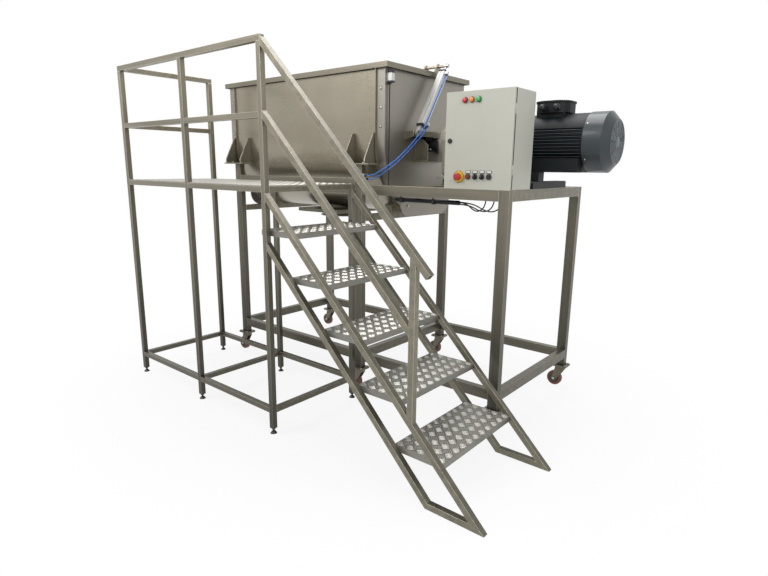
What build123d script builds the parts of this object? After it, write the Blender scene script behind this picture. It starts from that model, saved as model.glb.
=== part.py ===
from build123d import *
import math
import os

# Ribbon blender on a castored frame, with a step platform standing in front of it.
# Millimetres. X runs along the trough to the motor, Y from the stairs to the back, Z up.
# The origin is on the floor, below the middle of the whole object.

# Clearances
fit_gap = 0.3
running_gap = 0.05
slide_gap = 0.5

# Platform and stairs, welded from square tube
tube = 30
tube_wall = 2
bay_left = 730
bay_right = 720
platform_depth = 650
deck_height = 1375
deck_plate = 4
deck_notch_gap = 1
guard_height = 2085
guard_mid_height = 1728
platform_base_height = 139
foot_height = 32
foot_pad_radius = 20
foot_pad_height = 12
foot_stem_radius = 6
foot_nut_radius = 11
foot_nut_height = 8
foot_plug_height = 20
stair_angle = 45
stair_drop = 31
stringer_spacing = 181
tread_count = 5
tread_depth = 270
tread_lip = 30
tread_plate = 3
newel_from_tip = 394
handrail_end_from_tip = 316

# Main frame, welded from rectangular tube
frame_from_platform_x = 108
frame_from_platform_y = 775
frame_length = 2322
frame_width = 1000
leg_length = 60
rail_height = 60
rail_width = 40
rail_wall = 3
mid_leg_offset = 1278
frame_top = 1370
base_rail_bottom = 210
low_beam_bottom = 1140
low_beam_height = 40
low_beam_width = 60
drive_beam_offsets = (1712, 1932)
cradle_bar = 40
wedge_reach = (90, 200)

# Casters
caster_height = 150
leg_plate = 8
leg_plate_length = 100
leg_plate_width = 84
caster_plate = 5
wheel_radius = 50
wheel_width = 32
wheel_chamfer = 4
wheel_recess = 4
wheel_recess_radius = 33
caster_trail = 36
caster_axle_radius = 6
axle_boss_radius = 15
fork_cheek = 4
fork_side_gap = 2
fork_bridge = 14
fork_length = 58
swivel_radius = 29
swivel_height = 9
king_pin_radius = 6
king_pin_height = 9

# Trough
trough_overhang = 108
trough_length = 1550
trough_radius = 440
trough_wall = 4
axis_height = 1621
rim_height = 2072
rim_flange = 15
pan_depth = 65
end_plate = 6
seam_flange = 12
end_foot_width = 566
end_foot_bottom = 1165
end_foot_height = 135
end_foot_corner = 100
end_foot_plate = 8
bracket_height = 1500
bracket_length = 230
bracket_reach = 100
bracket_plate = 8
gusset_spacing = 175
gusset_height = 185
gusset_toe = 28
gusset_tip = 20
bracket_tuck = 22
end_hole_radius = 47.5

# Discharge
outlet_radius = 125
outlet_wall = 4
gate_housing_length = 410
gate_housing_depth = 550
gate_housing_top = 1176
gate_housing_height = 26
gate_thickness = 8
gate_width = 300
gate_length = 470
gate_lap = 25
gate_handle_width = 160
gate_handle_radius = 9
gate_handle_reach = 60
gate_handle_leg = 7
spout_length = 34
spout_flange = 8
spout_flange_radius = 170
spout_bolt_circle = 300
spout_bolt_count = 8
spout_bolt_radius = 5.5

# Agitator
shaft_radius = 30
shaft_left_reach = 122
shaft_in_gearbox = 70
ribbon_clearance = 6
outer_ribbon_width = 60
inner_ribbon_radius = 215
inner_ribbon_width = 50
ribbon_thickness = 8
arm_radius = 12.5
arm_spacing = 240
arm_count = 7
seal_radius = 65
seal_depth = 25
seal_bore_gap = 0.08
pedestal_width = 266
pedestal_depth = 105
pedestal_bottom = 1515
pedestal_top = 1657
pedestal_plate = 12
pedestal_side = 8
pedestal_chamfer = 40
pedestal_flange = 14
bearing_rise = 46
bearing_depth = 42
bearing_inset = 6
bearing_foot = 16
bearing_foot_width = 170
collar_radius = 48
collar_ring_radius = 66
collar_ring = 18
collar_end_gap = 3

# Drive
gearbox_gap = 78
gearbox_length = 500
gearbox_width = 260
gearbox_bottom = 1410
gearbox_top = 1687
gearbox_corner = 45
output_flange_radius = 125
output_flange = 30
bell_radius = 130
motor_flange_radius = 175
motor_flange = 20
bell_length = 170
gearbox_foot_width = 340
gearbox_foot = 18
gearbox_foot_length = 300
drive_bar_height = 40
drive_bar_width = 64
drive_bar_length = 460
motor_block_width = 70
motor_foot_spread = 262
motor_core_radius = 128
motor_fin_radius = 156
motor_body_length = 387
motor_shield = 16
fin_low = -86
fin_high = 70
fin_thickness = 4
fin_count = 8
terminal_size = 192
terminal_corner = 72
terminal_rise = 159
terminal_height = 63
terminal_lid = 10
terminal_lid_lap = 5
terminal_offset = 178
terminal_pad_inset = 18
gland_radius = 17
gland_length = 28
gland_pitch = 78
gland_shift = 8
cowl_radius = 160
cowl_length = 88
cowl_cone_length = 38
cowl_face_radius = 116
cowl_sheet = 3
grille_slots = 18
grille_slot_width = 9
grille_ring_radii = (32, 66, 74, 108)
fan_radius = 110
fan_blades = 8
fan_blade = 4
fan_blade_length = 60
fan_hub_radius = 40
fan_shaft_radius = 21
fan_shaft_length = 60

# Lid and its lift cylinder
lid_side_overhang = 31
lid_front_overhang = 21
lid_back_overhang = 20
lid_rise = 14
lid_skirt = 32
lid_sheet = 3
lid_rib_width = 40
lid_rib_height = 10
lid_rib_count = 3
seal_strip_width = 24
hinge_back = 42
hinge_drop = 26
hinge_pin_radius = 6
hinge_eye_radius = 11
hinge_lug = 12
hinge_arm = 10
hinge_inset = 180
hinge_lug_drop = 14
lift_pin_forward = 399
lift_pin_up = 80
lift_pivot_forward = 206
lift_pivot_height = 1690
lift_offset = 81
lid_bar_radius = 9
lid_bar_inset = 95
lid_lug = 10
lid_lug_width = 44
barrel_size = 47
barrel_start = 46
barrel_length = 430
barrel_cap = 14
barrel_groove = 6
barrel_groove_depth = 3
piston_radius = 16
piston_length = 20
rod_radius = 7
eye_radius = 15
eye_width = 20
rear_eye_width = 26
rear_eye_radius = 16
pivot_pin_radius = 6
port_size = 14
port_reach = 24.5
port_length = 20
port_spread = 10
shelf_forward = 241
shelf_back = 241
shelf_height = 1705
shelf_plate = 6
shelf_lip = 36
shelf_gusset = 50
shelf_slot_reach = 40
bolt_head_radius = 10
bolt_head = 8

# Control cabinet
cabinet_width = 400
cabinet_depth = 235
cabinet_height = 500
cabinet_sheet = 2
cabinet_return = 14
door_depth = 18
door_gap = 4
door_hinge_radius = 3.5
door_pin_radius = 1.5
door_knuckle = 25
door_hinge_spread = 300
device_radius = 11
lock_inset = 31
lock_radius = 13
lock_head = 5
lock_stem_radius = 8
lock_cam_length = 14
lock_cam = 4
lamp_row_drop = 45
lamp_places = (116, 157, 198)
lamp_radius = 14
lamp_height = 12
estop_place = 97
estop_rise = 63
estop_radius = 20
estop_height = 15
estop_collar_radius = 32
estop_gap = 10
button_row_rise = 64
button_places = (152, 194, 236, 278)
bezel_radius = 14.5
bezel_height = 8
device_well_radius = 10.8
device_well = 7
device_cap_radius = 10.5
device_cap = 5
device_proud = 3
stem_radius = 5
stem_length = 22
stem_end_gap = 7
device_neck = 12
contact_block = 28
contact_depth = 24
selector_grip = 9
selector_grip_width = 7
gear_plate = 3
gear_plate_inset = 30
gear_standoff = 12
gear_standoff_radius = 8
gear_blocks = ((-120, 110, 90, 130), (20, 120, 110, 100), (0, -20, 300, 80), (0, -140, 300, 50))
gear_depth = 60

# Switch, valve and cables
switch_width = 30
switch_depth = 32
switch_height = 70
switch_drop = 12
switch_inset = 16
switch_plate = 4
switch_cable_out = 10
valve_length = 20
valve_width = 40
valve_forward = 4
fitting_spread = 7
valve_bottom = 1392
valve_height = 46
fitting_radius = 6
fitting_length = 10
hose_diameter = 8
cable_diameter = 7
bundle_diameter = 26
bundle_start = 1645
bundle_end = 2100
bundle_behind_rail = 20
bundle_drop = 22
clip_places = (1700, 1930)
clip_width = 14
clip_sheet = 3
gland_stub = 35
gland_stub_radius = 12
loop_gland_inset = 230
loop_gland_behind = 9
loop_pitch = 45
loop_run = 95
loop_sag = (42, 36)
loop_rise = 43
loop_forward = (6, 2)
loop_before_gland = 25
loop_spread = (0.35, 0.7, 0.1)
loop_lane = 10
loop_lane_start = 7
loop_start_drop = (3, -8, 3)
cable_tail = ((1573, 855, 1306), (1608, 835, 1288))
front_hose_arc = (
    (1662, 1008, 1656),
    (1640, 945, 1590),
    (1604, 888, 1527),
    (1570, 828, 1478),
    (1530, 804, 1449),
)
rear_hose_arc = (
    (1662, 1012, 1636),
    (1640, 950, 1572),
    (1604, 895, 1509),
    (1568, 838, 1458),
    (1530, 816, 1428),
)
hose_lead = 42
hose_leave = (40, 12)

# Where things stand, measured from the platform's front left post, then moved to the origin
half = tube / 2
tube_bore = tube - 2 * tube_wall
stair_rise = deck_height - stair_drop
stair_slope = math.radians(stair_angle)
stair_reach = bay_left + bay_right + half + stair_rise / math.tan(stair_slope)
left_reach = frame_from_platform_x - trough_overhang - shaft_left_reach
back_reach = frame_from_platform_y + frame_width / 2 + trough_radius + bracket_reach
platform_x = -(stair_reach + left_reach) / 2
front_reach = max(half, foot_pad_radius)
platform_y = -(back_reach - front_reach) / 2
frame_x = platform_x + frame_from_platform_x
frame_y = platform_y + frame_from_platform_y
axis_y = frame_y + frame_width / 2
axis_z = axis_height
trough_x = frame_x - trough_overhang
trough_end = trough_x + trough_length
trough_mid = trough_x + trough_length / 2
lid_top = rim_height + lid_rise

os.makedirs("parts", exist_ok=True)


def save(part, name):
    """Labels a finished piece and writes it as a file of its own."""
    part.label = name
    export_step(part, os.path.join("parts", name + ".step"))


def save_group(members, name):
    """Writes separate solids of one welded piece together."""
    save(Compound(children=members), name)


def hollow_bar(start, end, width, depth, wall, side, trims=()):
    """A rectangular tube from start to end, its width along side, cut where the planes say."""
    run = Vector(*end) - Vector(*start)
    with BuildPart() as bar:
        with BuildSketch(Plane(origin=start, x_dir=side, z_dir=run)):
            Rectangle(width, depth)
            Rectangle(width - 2 * wall, depth - 2 * wall, mode=Mode.SUBTRACT)
        extrude(amount=run.length)
        for plane in trims:
            split(bisect_by=plane, keep=Keep.TOP)
    return bar.part


def square_tube(start, end, side=(0, 1, 0), trims=()):
    return hollow_bar(start, end, tube, tube, tube_wall, side, trims)


def rail_tube(start, end, side=(0, 1, 0)):
    return hollow_bar(start, end, rail_width, rail_height, rail_wall, side)


def block(x, y, z, mode=Mode.ADD):
    """A box between two limits on each axis, in the part being built."""
    with Locations(((x[0] + x[1]) / 2, (y[0] + y[1]) / 2, (z[0] + z[1]) / 2)):
        Box(x[1] - x[0], y[1] - y[0], z[1] - z[0], mode=mode)


def round_x(x, y, z, radius, mode=Mode.ADD):
    """A cylinder along x between two limits, in the part being built."""
    with Locations(((x[0] + x[1]) / 2, y, z)):
        Cylinder(radius, x[1] - x[0], rotation=(0, 90, 0), mode=mode)


def round_y(x, y, z, radius, mode=Mode.ADD):
    """A cylinder along y between two limits, in the part being built."""
    with Locations((x, (y[0] + y[1]) / 2, z)):
        Cylinder(radius, y[1] - y[0], rotation=(90, 0, 0), mode=mode)


def round_z(x, y, z, radius, mode=Mode.ADD):
    """An upright cylinder between two limits, in the part being built."""
    with Locations((x, y, (z[0] + z[1]) / 2)):
        Cylinder(radius, z[1] - z[0], mode=mode)


def u_solid(start, end, radius, top):
    """A solid with the trough's U outline, from start to end along x."""
    with BuildPart() as solid:
        with BuildSketch(Plane.YZ.offset(start)):
            with Locations((axis_y, axis_z)):
                Circle(radius)
                Rectangle(2 * radius, top - axis_z, align=(Align.CENTER, Align.MIN))
        extrude(amount=end - start)
    return solid.part


def cord(points, diameter):
    """A round cord along straight runs joined by arcs as large as the runs allow."""
    corners = [Vector(*point) for point in points]
    radii = []
    for before, corner, after in zip(corners, corners[1:], corners[2:]):
        turn = math.radians((corner - before).get_angle(after - corner))
        run = min((corner - before).length, (after - corner).length)
        radii.append(0.45 * run / math.tan(turn / 2))
    with BuildPart() as line:
        with BuildLine() as route:
            FilletPolyline(*points, radius=radii)
        with BuildSketch(Plane(origin=route.line @ 0, z_dir=route.line % 0)):
            Circle(diameter / 2)
        sweep()
    length = sum(edge.length for edge in route.edges())
    share = line.part.volume / (math.pi * diameter**2 / 4 * length)
    print("cord", round(length), "mm, volume share", round(share, 4), "radii", [round(r) for r in radii])
    return line.part


# Platform posts, four of them up to the guard rail
post_x = [platform_x, platform_x + bay_left, platform_x + bay_left + bay_right]
post_y = [platform_y, platform_y + platform_depth]
guard_posts = [(x, post_y[0]) for x in post_x] + [(post_x[0], post_y[1])]
deck_posts = [(x, post_y[1]) for x in post_x[1:]]
all_posts = guard_posts + deck_posts
post_face = post_x[2] + half

with BuildPart() as platform_posts:
    for places, top in ((guard_posts, guard_height - half), (deck_posts, deck_height)):
        with BuildSketch(Plane.XY.offset(foot_height)):
            with Locations(*places):
                Rectangle(tube, tube)
                Rectangle(tube_bore, tube_bore, mode=Mode.SUBTRACT)
        extrude(amount=top - foot_height)
save(platform_posts.part, "platform_posts")

# Platform rails: base ring, deck frame and the guard on the front and left sides
bays = list(zip(post_x, post_x[1:]))
across = (1, 0, 0)
rails = []
for z in (platform_base_height, deck_height - half):
    for y in post_y:
        for left, right in bays:
            rails.append(square_tube((left + half, y, z), (right - half, y, z)))
    for x in post_x:
        rails.append(square_tube((x, post_y[0] + half, z), (x, post_y[1] - half, z), across))
for left, right in bays:
    start = (left + half, post_y[0], guard_mid_height)
    rails.append(square_tube(start, (right - half, post_y[0], guard_mid_height)))
start = (post_x[0], post_y[0] + half, guard_mid_height)
rails.append(square_tube(start, (post_x[0], post_y[1] - half, guard_mid_height), across))
start = (post_x[0] - half, post_y[0], guard_height)
rails.append(square_tube(start, (post_face, post_y[0], guard_height)))
start = (post_x[0], post_y[0] + half, guard_height)
rails.append(square_tube(start, (post_x[0], post_y[1] + half, guard_height), across))
save_group(rails, "platform_rails")

# Deck plate, notched round the posts that pass it
with BuildPart() as platform_deck:
    with BuildSketch(Plane.XY.offset(deck_height)):
        with Locations(((post_x[0] + post_x[2]) / 2, (post_y[0] + post_y[1]) / 2)):
            Rectangle(post_x[2] - post_x[0] + tube, platform_depth + tube)
        with Locations(*guard_posts):
            Rectangle(tube + 2 * deck_notch_gap, tube + 2 * deck_notch_gap, mode=Mode.SUBTRACT)
    extrude(amount=deck_plate)
save(platform_deck.part, "platform_deck")

# Levelling feet: pad, stem, nut and the plug in the post's end
upward = (Align.CENTER, Align.CENTER, Align.MIN)
plug_side = tube_bore - 2 * fit_gap
with BuildPart() as levelling_feet:
    with Locations(*all_posts):
        Cone(foot_pad_radius, foot_nut_radius, foot_pad_height, align=upward)
        Cylinder(foot_stem_radius, foot_height + foot_plug_height, align=upward)
    with Locations(*[(x, y, foot_height - foot_nut_height) for x, y in all_posts]):
        Cylinder(foot_nut_radius, foot_nut_height, align=upward)
    with Locations(*[(x, y, foot_height) for x, y in all_posts]):
        Box(plug_side, plug_side, foot_plug_height, align=upward)
save(levelling_feet.part, "levelling_feet")

# Stairs: two stringers of twin tubes, and the handrail on the near side
tip = Vector(platform_x + stair_reach, 0, 0)
down_slope = Vector(math.cos(stair_slope), 0, -math.sin(stair_slope))
out_slope = Vector(math.sin(stair_slope), 0, math.cos(stair_slope))
spare = 4 * tube
post_plane = Plane(origin=(post_face, 0, 0), z_dir=(1, 0, 0))
slope_length = stair_rise / math.sin(stair_slope)
stair_tubes = []
for y in post_y:
    for below in (half, half + stringer_spacing):
        foot = tip - out_slope * below + Vector(0, y, 0)
        start = foot - down_slope * (slope_length + spare)
        end = foot + down_slope * spare
        stair_tubes.append(square_tube(tuple(start), tuple(end), trims=(Plane.XY, post_plane)))
    toe_cuts = (
        Plane(origin=tip - out_slope * stringer_spacing, z_dir=out_slope),
        Plane(origin=tip - out_slope * tube, z_dir=out_slope * -1),
    )
    toe_start = (tip.X - 2 * (stringer_spacing + tube), y, half)
    stair_tubes.append(square_tube(toe_start, (tip.X, y, half), trims=toe_cuts))

rail_start = Vector(post_x[2], post_y[0], guard_height)
rail_drop = tip.X - handrail_end_from_tip - post_x[2]
rail_end = rail_start + down_slope * (rail_drop / math.cos(stair_slope))
stair_tubes.append(
    square_tube(tuple(rail_start - down_slope * spare), tuple(rail_end), trims=(post_plane,))
)
newel_x = tip.X - newel_from_tip
newel_cuts = (
    Plane(origin=tip, z_dir=out_slope),
    Plane(origin=rail_start - out_slope * half, z_dir=out_slope * -1),
)
stair_tubes.append(
    square_tube((newel_x, post_y[0], 0), (newel_x, post_y[0], guard_height), trims=newel_cuts)
)
mid_start = Vector(post_face, post_y[0], guard_mid_height)
mid_end = mid_start + down_slope * ((newel_x - post_face) / math.cos(stair_slope))
newel_plane = Plane(origin=(newel_x - half, 0, 0), z_dir=(-1, 0, 0))
stair_tubes.append(
    square_tube(
        tuple(mid_start - down_slope * spare),
        tuple(mid_end + down_slope * spare),
        trims=(post_plane, newel_plane),
    )
)
save_group(stair_tubes, "stair_frame")

# Treads: plate folded down on all four sides, between the stringers
riser = (deck_height + deck_plate) / (tread_count + 1)
tread_y = (post_y[0] + half, post_y[1] - half)
with BuildPart() as stair_treads:
    for step in range(1, tread_count + 1):
        top = riser * step
        nose = tip.X - top / math.tan(stair_slope)
        block((nose - tread_depth, nose), tread_y, (top - tread_lip, top))
        block(
            (nose - tread_depth + tread_plate, nose - tread_plate),
            (tread_y[0] + tread_plate, tread_y[1] - tread_plate),
            (top - tread_lip, top - tread_plate),
            Mode.SUBTRACT,
        )
save(stair_treads.part, "stair_treads")

# Main frame legs; those beside the trough run up to its brackets
leg_x = [frame_x + leg_length / 2, frame_x + mid_leg_offset, frame_x + frame_length - leg_length / 2]
leg_y = [frame_y + rail_width / 2, frame_y + frame_width - rail_width / 2]
leg_places = [(x, y) for x in leg_x for y in leg_y]
leg_bottom = caster_height + leg_plate
bracket_bottom = bracket_height - bracket_plate
with BuildPart() as frame_legs:
    for places, top in ((leg_places[:4], bracket_bottom), (leg_places[4:], frame_top)):
        with BuildSketch(Plane.XY.offset(leg_bottom)):
            with Locations(*places):
                Rectangle(leg_length, rail_width)
                Rectangle(leg_length - 2 * rail_wall, rail_width - 2 * rail_wall, mode=Mode.SUBTRACT)
        extrude(amount=top - leg_bottom)
save(frame_legs.part, "frame_legs")

# Frame rails along and across, and the low beams that carry the trough
leg_half = leg_length / 2
inner_y = (frame_y + rail_width, frame_y + frame_width - rail_width)
base_z = base_rail_bottom + rail_height / 2
top_z = frame_top - rail_height / 2
end_rail_x = frame_x + frame_length - rail_width / 2
frame_rails = []
for z in (base_z, top_z):
    for y in leg_y:
        for left, right in zip(leg_x, leg_x[1:]):
            frame_rails.append(rail_tube((left + leg_half, y, z), (right - leg_half, y, z)))
for x in (frame_x + rail_width / 2, leg_x[1], end_rail_x):
    frame_rails.append(rail_tube((x, inner_y[0], base_z), (x, inner_y[1], base_z), across))
for x in [frame_x + offset for offset in drive_beam_offsets] + [end_rail_x]:
    frame_rails.append(rail_tube((x, inner_y[0], top_z), (x, inner_y[1], top_z), across))
low_z = low_beam_bottom + low_beam_height / 2
for x in leg_x[:2]:
    ends = ((x, inner_y[0], low_z), (x, inner_y[1], low_z))
    frame_rails.append(hollow_bar(*ends, low_beam_width, low_beam_height, rail_wall, across))

# Bars on the long rails and wedges on the low beams, which steady the trough
trough_clear = u_solid(trough_x, trough_end, trough_radius + fit_gap, rim_height)
low_beam_top = low_beam_bottom + low_beam_height
for y in leg_y:
    z = frame_top + cradle_bar / 2
    ends = ((leg_x[0] + leg_half, y, z), (leg_x[1] - leg_half, y, z))
    frame_rails.append(hollow_bar(*ends, cradle_bar, cradle_bar, rail_wall, (0, 1, 0)))
with BuildPart() as wedges:
    for x in leg_x[:2]:
        for side in (-1, 1):
            reach = sorted(axis_y + side * distance for distance in wedge_reach)
            wedge_top = axis_z - math.sqrt(trough_radius**2 - wedge_reach[1] ** 2)
            wedge_x = (x - low_beam_width / 2, x + low_beam_width / 2)
            block(wedge_x, reach, (low_beam_top, wedge_top))
    add(trough_clear, mode=Mode.SUBTRACT)
frame_rails.extend(wedges.part.solids())
save_group(frame_rails, "frame_rails")

# Caster plates under the legs, bored for the swivel pins
with BuildPart() as caster_plates:
    with Locations(*[(x, y, caster_height) for x, y in leg_places]):
        Box(leg_plate_length, leg_plate_width, leg_plate, align=upward)
    with Locations(*[(x, y, caster_height - caster_plate) for x, y in leg_places]):
        Box(leg_plate_length, leg_plate_width, caster_plate, align=upward)
        Cylinder(king_pin_radius + running_gap, king_pin_height + fit_gap, align=upward, mode=Mode.SUBTRACT)
save(caster_plates.part, "caster_plates")

# One caster fork and wheel, then a copy under each leg
swivel_top = caster_height - caster_plate - fit_gap
bridge_top = swivel_top - swivel_height
bridge_bottom = bridge_top - fork_bridge
fork_half = wheel_width / 2 + fork_side_gap + fork_cheek
with BuildPart() as caster_fork:
    with BuildSketch(Plane.XZ):
        with Locations((-caster_trail, wheel_radius)):
            Circle(axle_boss_radius)
        with Locations((0, bridge_top - fork_bridge / 2)):
            Rectangle(fork_length, fork_bridge)
        make_hull()
    extrude(amount=fork_half, both=True)
    slot_half = wheel_width / 2 + fork_side_gap
    block((-3 * caster_trail, 2 * caster_trail), (-slot_half, slot_half), (0, bridge_bottom), Mode.SUBTRACT)
    round_y(-caster_trail, (-fork_half, fork_half), wheel_radius, caster_axle_radius)
    with Locations((0, 0, bridge_top)):
        Cylinder(swivel_radius, swivel_height, align=upward)
        Cylinder(king_pin_radius, swivel_height + king_pin_height, align=upward)
with BuildPart() as caster_wheel:
    wheel_half = wheel_width / 2
    round_y(-caster_trail, (-wheel_half, wheel_half), wheel_radius, wheel_radius)
    chamfer(caster_wheel.edges().filter_by(GeomType.CIRCLE), length=wheel_chamfer)
    for hollow_y in ((wheel_half - wheel_recess, wheel_half), (-wheel_half, wheel_recess - wheel_half)):
        round_y(-caster_trail, hollow_y, wheel_radius, wheel_recess_radius, Mode.SUBTRACT)
    bore = caster_axle_radius + running_gap
    round_y(-caster_trail, (-wheel_half, wheel_half), wheel_radius, bore, Mode.SUBTRACT)
for number, (x, y) in enumerate(leg_places, start=1):
    save(caster_fork.part.moved(Location((x, y, 0))), f"caster_fork_{number}")
    save(caster_wheel.part.moved(Location((x, y, 0))), f"caster_wheel_{number}")

# Trough body: bent sheet and two side walls, with a rim and a seam flange at each end
body_x = (trough_x + pan_depth, trough_end - pan_depth)
inner_radius = trough_radius - trough_wall
over_rim = rim_height + trough_wall
body_outer = u_solid(*body_x, trough_radius, rim_height)
body_inner = u_solid(*body_x, inner_radius, over_rim)
seams = [
    u_solid(body_x[0], body_x[0] + trough_wall, trough_radius + seam_flange, rim_height),
    u_solid(body_x[1] - trough_wall, body_x[1], trough_radius + seam_flange, rim_height),
]
rim_z = (rim_height - trough_wall, rim_height)
with BuildPart() as trough_body:
    add(body_outer)
    add(seams)
    for side in (-1, 1):
        rim_y = sorted((axis_y + side * inner_radius, axis_y + side * (trough_radius + rim_flange)))
        block(body_x, rim_y, rim_z)
    add(body_inner, mode=Mode.SUBTRACT)
    with Locations((trough_mid, axis_y, axis_z - trough_radius)):
        Cylinder(outlet_radius, trough_radius, mode=Mode.SUBTRACT)
bend_level = Plane.XY.offset(axis_z)
with BuildPart() as trough_bend:
    add(trough_body.part)
    split(bisect_by=bend_level, keep=Keep.BOTTOM)
with BuildPart() as trough_walls:
    add(trough_body.part)
    split(bisect_by=bend_level, keep=Keep.TOP)
save_group([trough_bend.part, *trough_walls.part.solids()], "trough_body")

# End pans: dished end plates with their own rim, a shaft hole and a flat foot plate
pan_outer = u_solid(body_x[1], trough_end, trough_radius, rim_height)
pan_inner = u_solid(body_x[1], trough_end - end_plate, inner_radius, over_rim)
trough_plane = Plane(origin=(trough_mid, 0, 0), z_dir=(1, 0, 0))
with BuildPart() as end_pan:
    add(pan_outer)
    rim_y = (axis_y - trough_radius - rim_flange, axis_y + trough_radius + rim_flange)
    block((body_x[1], trough_end + rim_flange), rim_y, rim_z)
    add(pan_inner, mode=Mode.SUBTRACT)
    with BuildSketch(Plane.YZ.offset(trough_end)):
        with Locations((axis_y, end_foot_bottom)):
            foot_outline = Rectangle(
                end_foot_width, end_foot_height, align=(Align.CENTER, Align.MIN)
            )
        fillet(foot_outline.vertices().group_by(Axis.Y)[0], radius=end_foot_corner)
    extrude(amount=end_foot_plate)
    round_x((trough_end - end_plate, trough_end), axis_y, axis_z, end_hole_radius, Mode.SUBTRACT)
save_group([end_pan.part, mirror(end_pan.part, about=trough_plane)], "trough_end_pans")

# Side brackets on the legs, and the hinge lugs with their pins on the back wall
lid_x = (trough_x - lid_side_overhang, trough_end + lid_side_overhang)
lid_y = (axis_y - trough_radius - lid_front_overhang, axis_y + trough_radius + lid_back_overhang)
hinge_y = axis_y + trough_radius + hinge_back
hinge_z = rim_height - hinge_drop
hinge_x = [lid_x[0] + hinge_inset, trough_mid, lid_x[1] - hinge_inset]
seam_reach = trough_radius + seam_flange + fit_gap
seam_clear = [
    u_solid(body_x[0] - fit_gap, body_x[0] + trough_wall + fit_gap, seam_reach, rim_height),
    u_solid(body_x[1] - trough_wall - fit_gap, body_x[1] + fit_gap, seam_reach, rim_height),
]
brackets = []
for x in leg_x[:2]:
    for side in (-1, 1):
        wall_y = axis_y + side * trough_radius
        outer_y = wall_y + side * bracket_reach
        inner_edge = axis_y + side * (trough_radius - bracket_tuck)
        with BuildPart() as bracket:
            plate_y = sorted((inner_edge, outer_y))
            plate_x = (x - bracket_length / 2, x + bracket_length / 2)
            block(plate_x, plate_y, (bracket_bottom, bracket_height))
            for spread in (-gusset_spacing / 2, gusset_spacing / 2):
                with BuildSketch(Plane.YZ.offset(x + spread - bracket_plate / 2)):
                    Polygon(
                        (inner_edge, bracket_height),
                        (outer_y, bracket_height),
                        (outer_y, bracket_height + gusset_toe),
                        (wall_y + side * gusset_tip, bracket_height + gusset_height),
                        (inner_edge, bracket_height + gusset_height),
                        align=None,
                    )
                extrude(amount=bracket_plate)
            add(trough_clear, mode=Mode.SUBTRACT)
            add(seam_clear, mode=Mode.SUBTRACT)
        brackets.append(bracket.part)
lug_top = lid_top - lid_skirt - hinge_lug_drop
for x in hinge_x:
    with BuildPart() as hinge:
        with BuildSketch(Plane.YZ.offset(x - hinge_lug / 2)):
            with Locations((hinge_y, hinge_z)):
                Circle(hinge_eye_radius)
            lug_wall = axis_y + trough_radius
            Polygon(
                (lug_wall, lug_top),
                (hinge_y, lug_top),
                (hinge_y + hinge_eye_radius, hinge_z),
                (hinge_y, hinge_z - hinge_eye_radius * 2),
                (lug_wall, hinge_z - hinge_back * 2),
                align=None,
            )
        extrude(amount=hinge_lug)
        pin_reach = hinge_lug / 2 + fit_gap + hinge_arm
        round_x((x - pin_reach, x + pin_reach), hinge_y, hinge_z, hinge_pin_radius)
    brackets.append(hinge.part)
save_group(brackets, "trough_brackets")

# Discharge: collar on the trough, gate housing, round spout and flange
housing_z = (gate_housing_top - gate_housing_height, gate_housing_top)
gate_z = housing_z[0] + gate_housing_height / 2
slot_z = (gate_z - gate_thickness / 2 - slide_gap, gate_z + gate_thickness / 2 + slide_gap)
spout_bottom = housing_z[0] - spout_length
housing_x = (trough_mid - gate_housing_length / 2, trough_mid + gate_housing_length / 2)
housing_y = (axis_y - gate_housing_depth / 2, axis_y + gate_housing_depth / 2)
gate_x = (trough_mid - gate_width / 2, trough_mid + gate_width / 2)
gate_front = axis_y - outlet_radius - gate_lap
gate_y = (gate_front, gate_front + gate_length)
slot_y = (gate_front - slide_gap, housing_y[1])
collar_top = axis_z - math.sqrt(trough_radius**2 - (outlet_radius + outlet_wall) ** 2)
with BuildPart() as discharge_outlet:
    block(housing_x, housing_y, housing_z)
    with Locations((trough_mid, axis_y, spout_bottom)):
        Cylinder(outlet_radius + outlet_wall, collar_top - spout_bottom, align=upward)
        Cylinder(spout_flange_radius, spout_flange, align=upward)
    add(trough_clear, mode=Mode.SUBTRACT)
    with Locations((trough_mid, axis_y, spout_bottom)):
        Cylinder(outlet_radius, collar_top - spout_bottom, align=upward, mode=Mode.SUBTRACT)
        with PolarLocations(spout_bolt_circle / 2, spout_bolt_count):
            Cylinder(spout_bolt_radius, spout_flange, align=upward, mode=Mode.SUBTRACT)
    block((gate_x[0] - slide_gap, gate_x[1] + slide_gap), slot_y, slot_z, Mode.SUBTRACT)
save(discharge_outlet.part, "discharge_outlet")

with BuildPart() as slide_gate:
    plate_z = (gate_z - gate_thickness / 2, gate_z + gate_thickness / 2)
    block(gate_x, gate_y, plate_z)
    for side in (-1, 1):
        x = trough_mid + side * (gate_handle_width / 2 - gate_handle_radius)
        handle_y = (gate_y[1] - gate_handle_radius, gate_y[1] + gate_handle_reach)
        round_y(x, handle_y, gate_z, gate_handle_leg)
    handle_x = (trough_mid - gate_handle_width / 2, trough_mid + gate_handle_width / 2)
    round_x(handle_x, gate_y[1] + gate_handle_reach, gate_z, gate_handle_radius)
save(slide_gate.part, "slide_gate")

# Shaft seals and bearings, made at the drive end and mirrored to the other
with BuildPart() as shaft_seal:
    round_x((trough_end, trough_end + seal_depth), axis_y, axis_z, seal_radius)
    seal_bore = shaft_radius + seal_bore_gap
    round_x((trough_end, trough_end + seal_depth), axis_y, axis_z, seal_bore, Mode.SUBTRACT)
save_group([shaft_seal.part, mirror(shaft_seal.part, about=trough_plane)], "shaft_seals")

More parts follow.
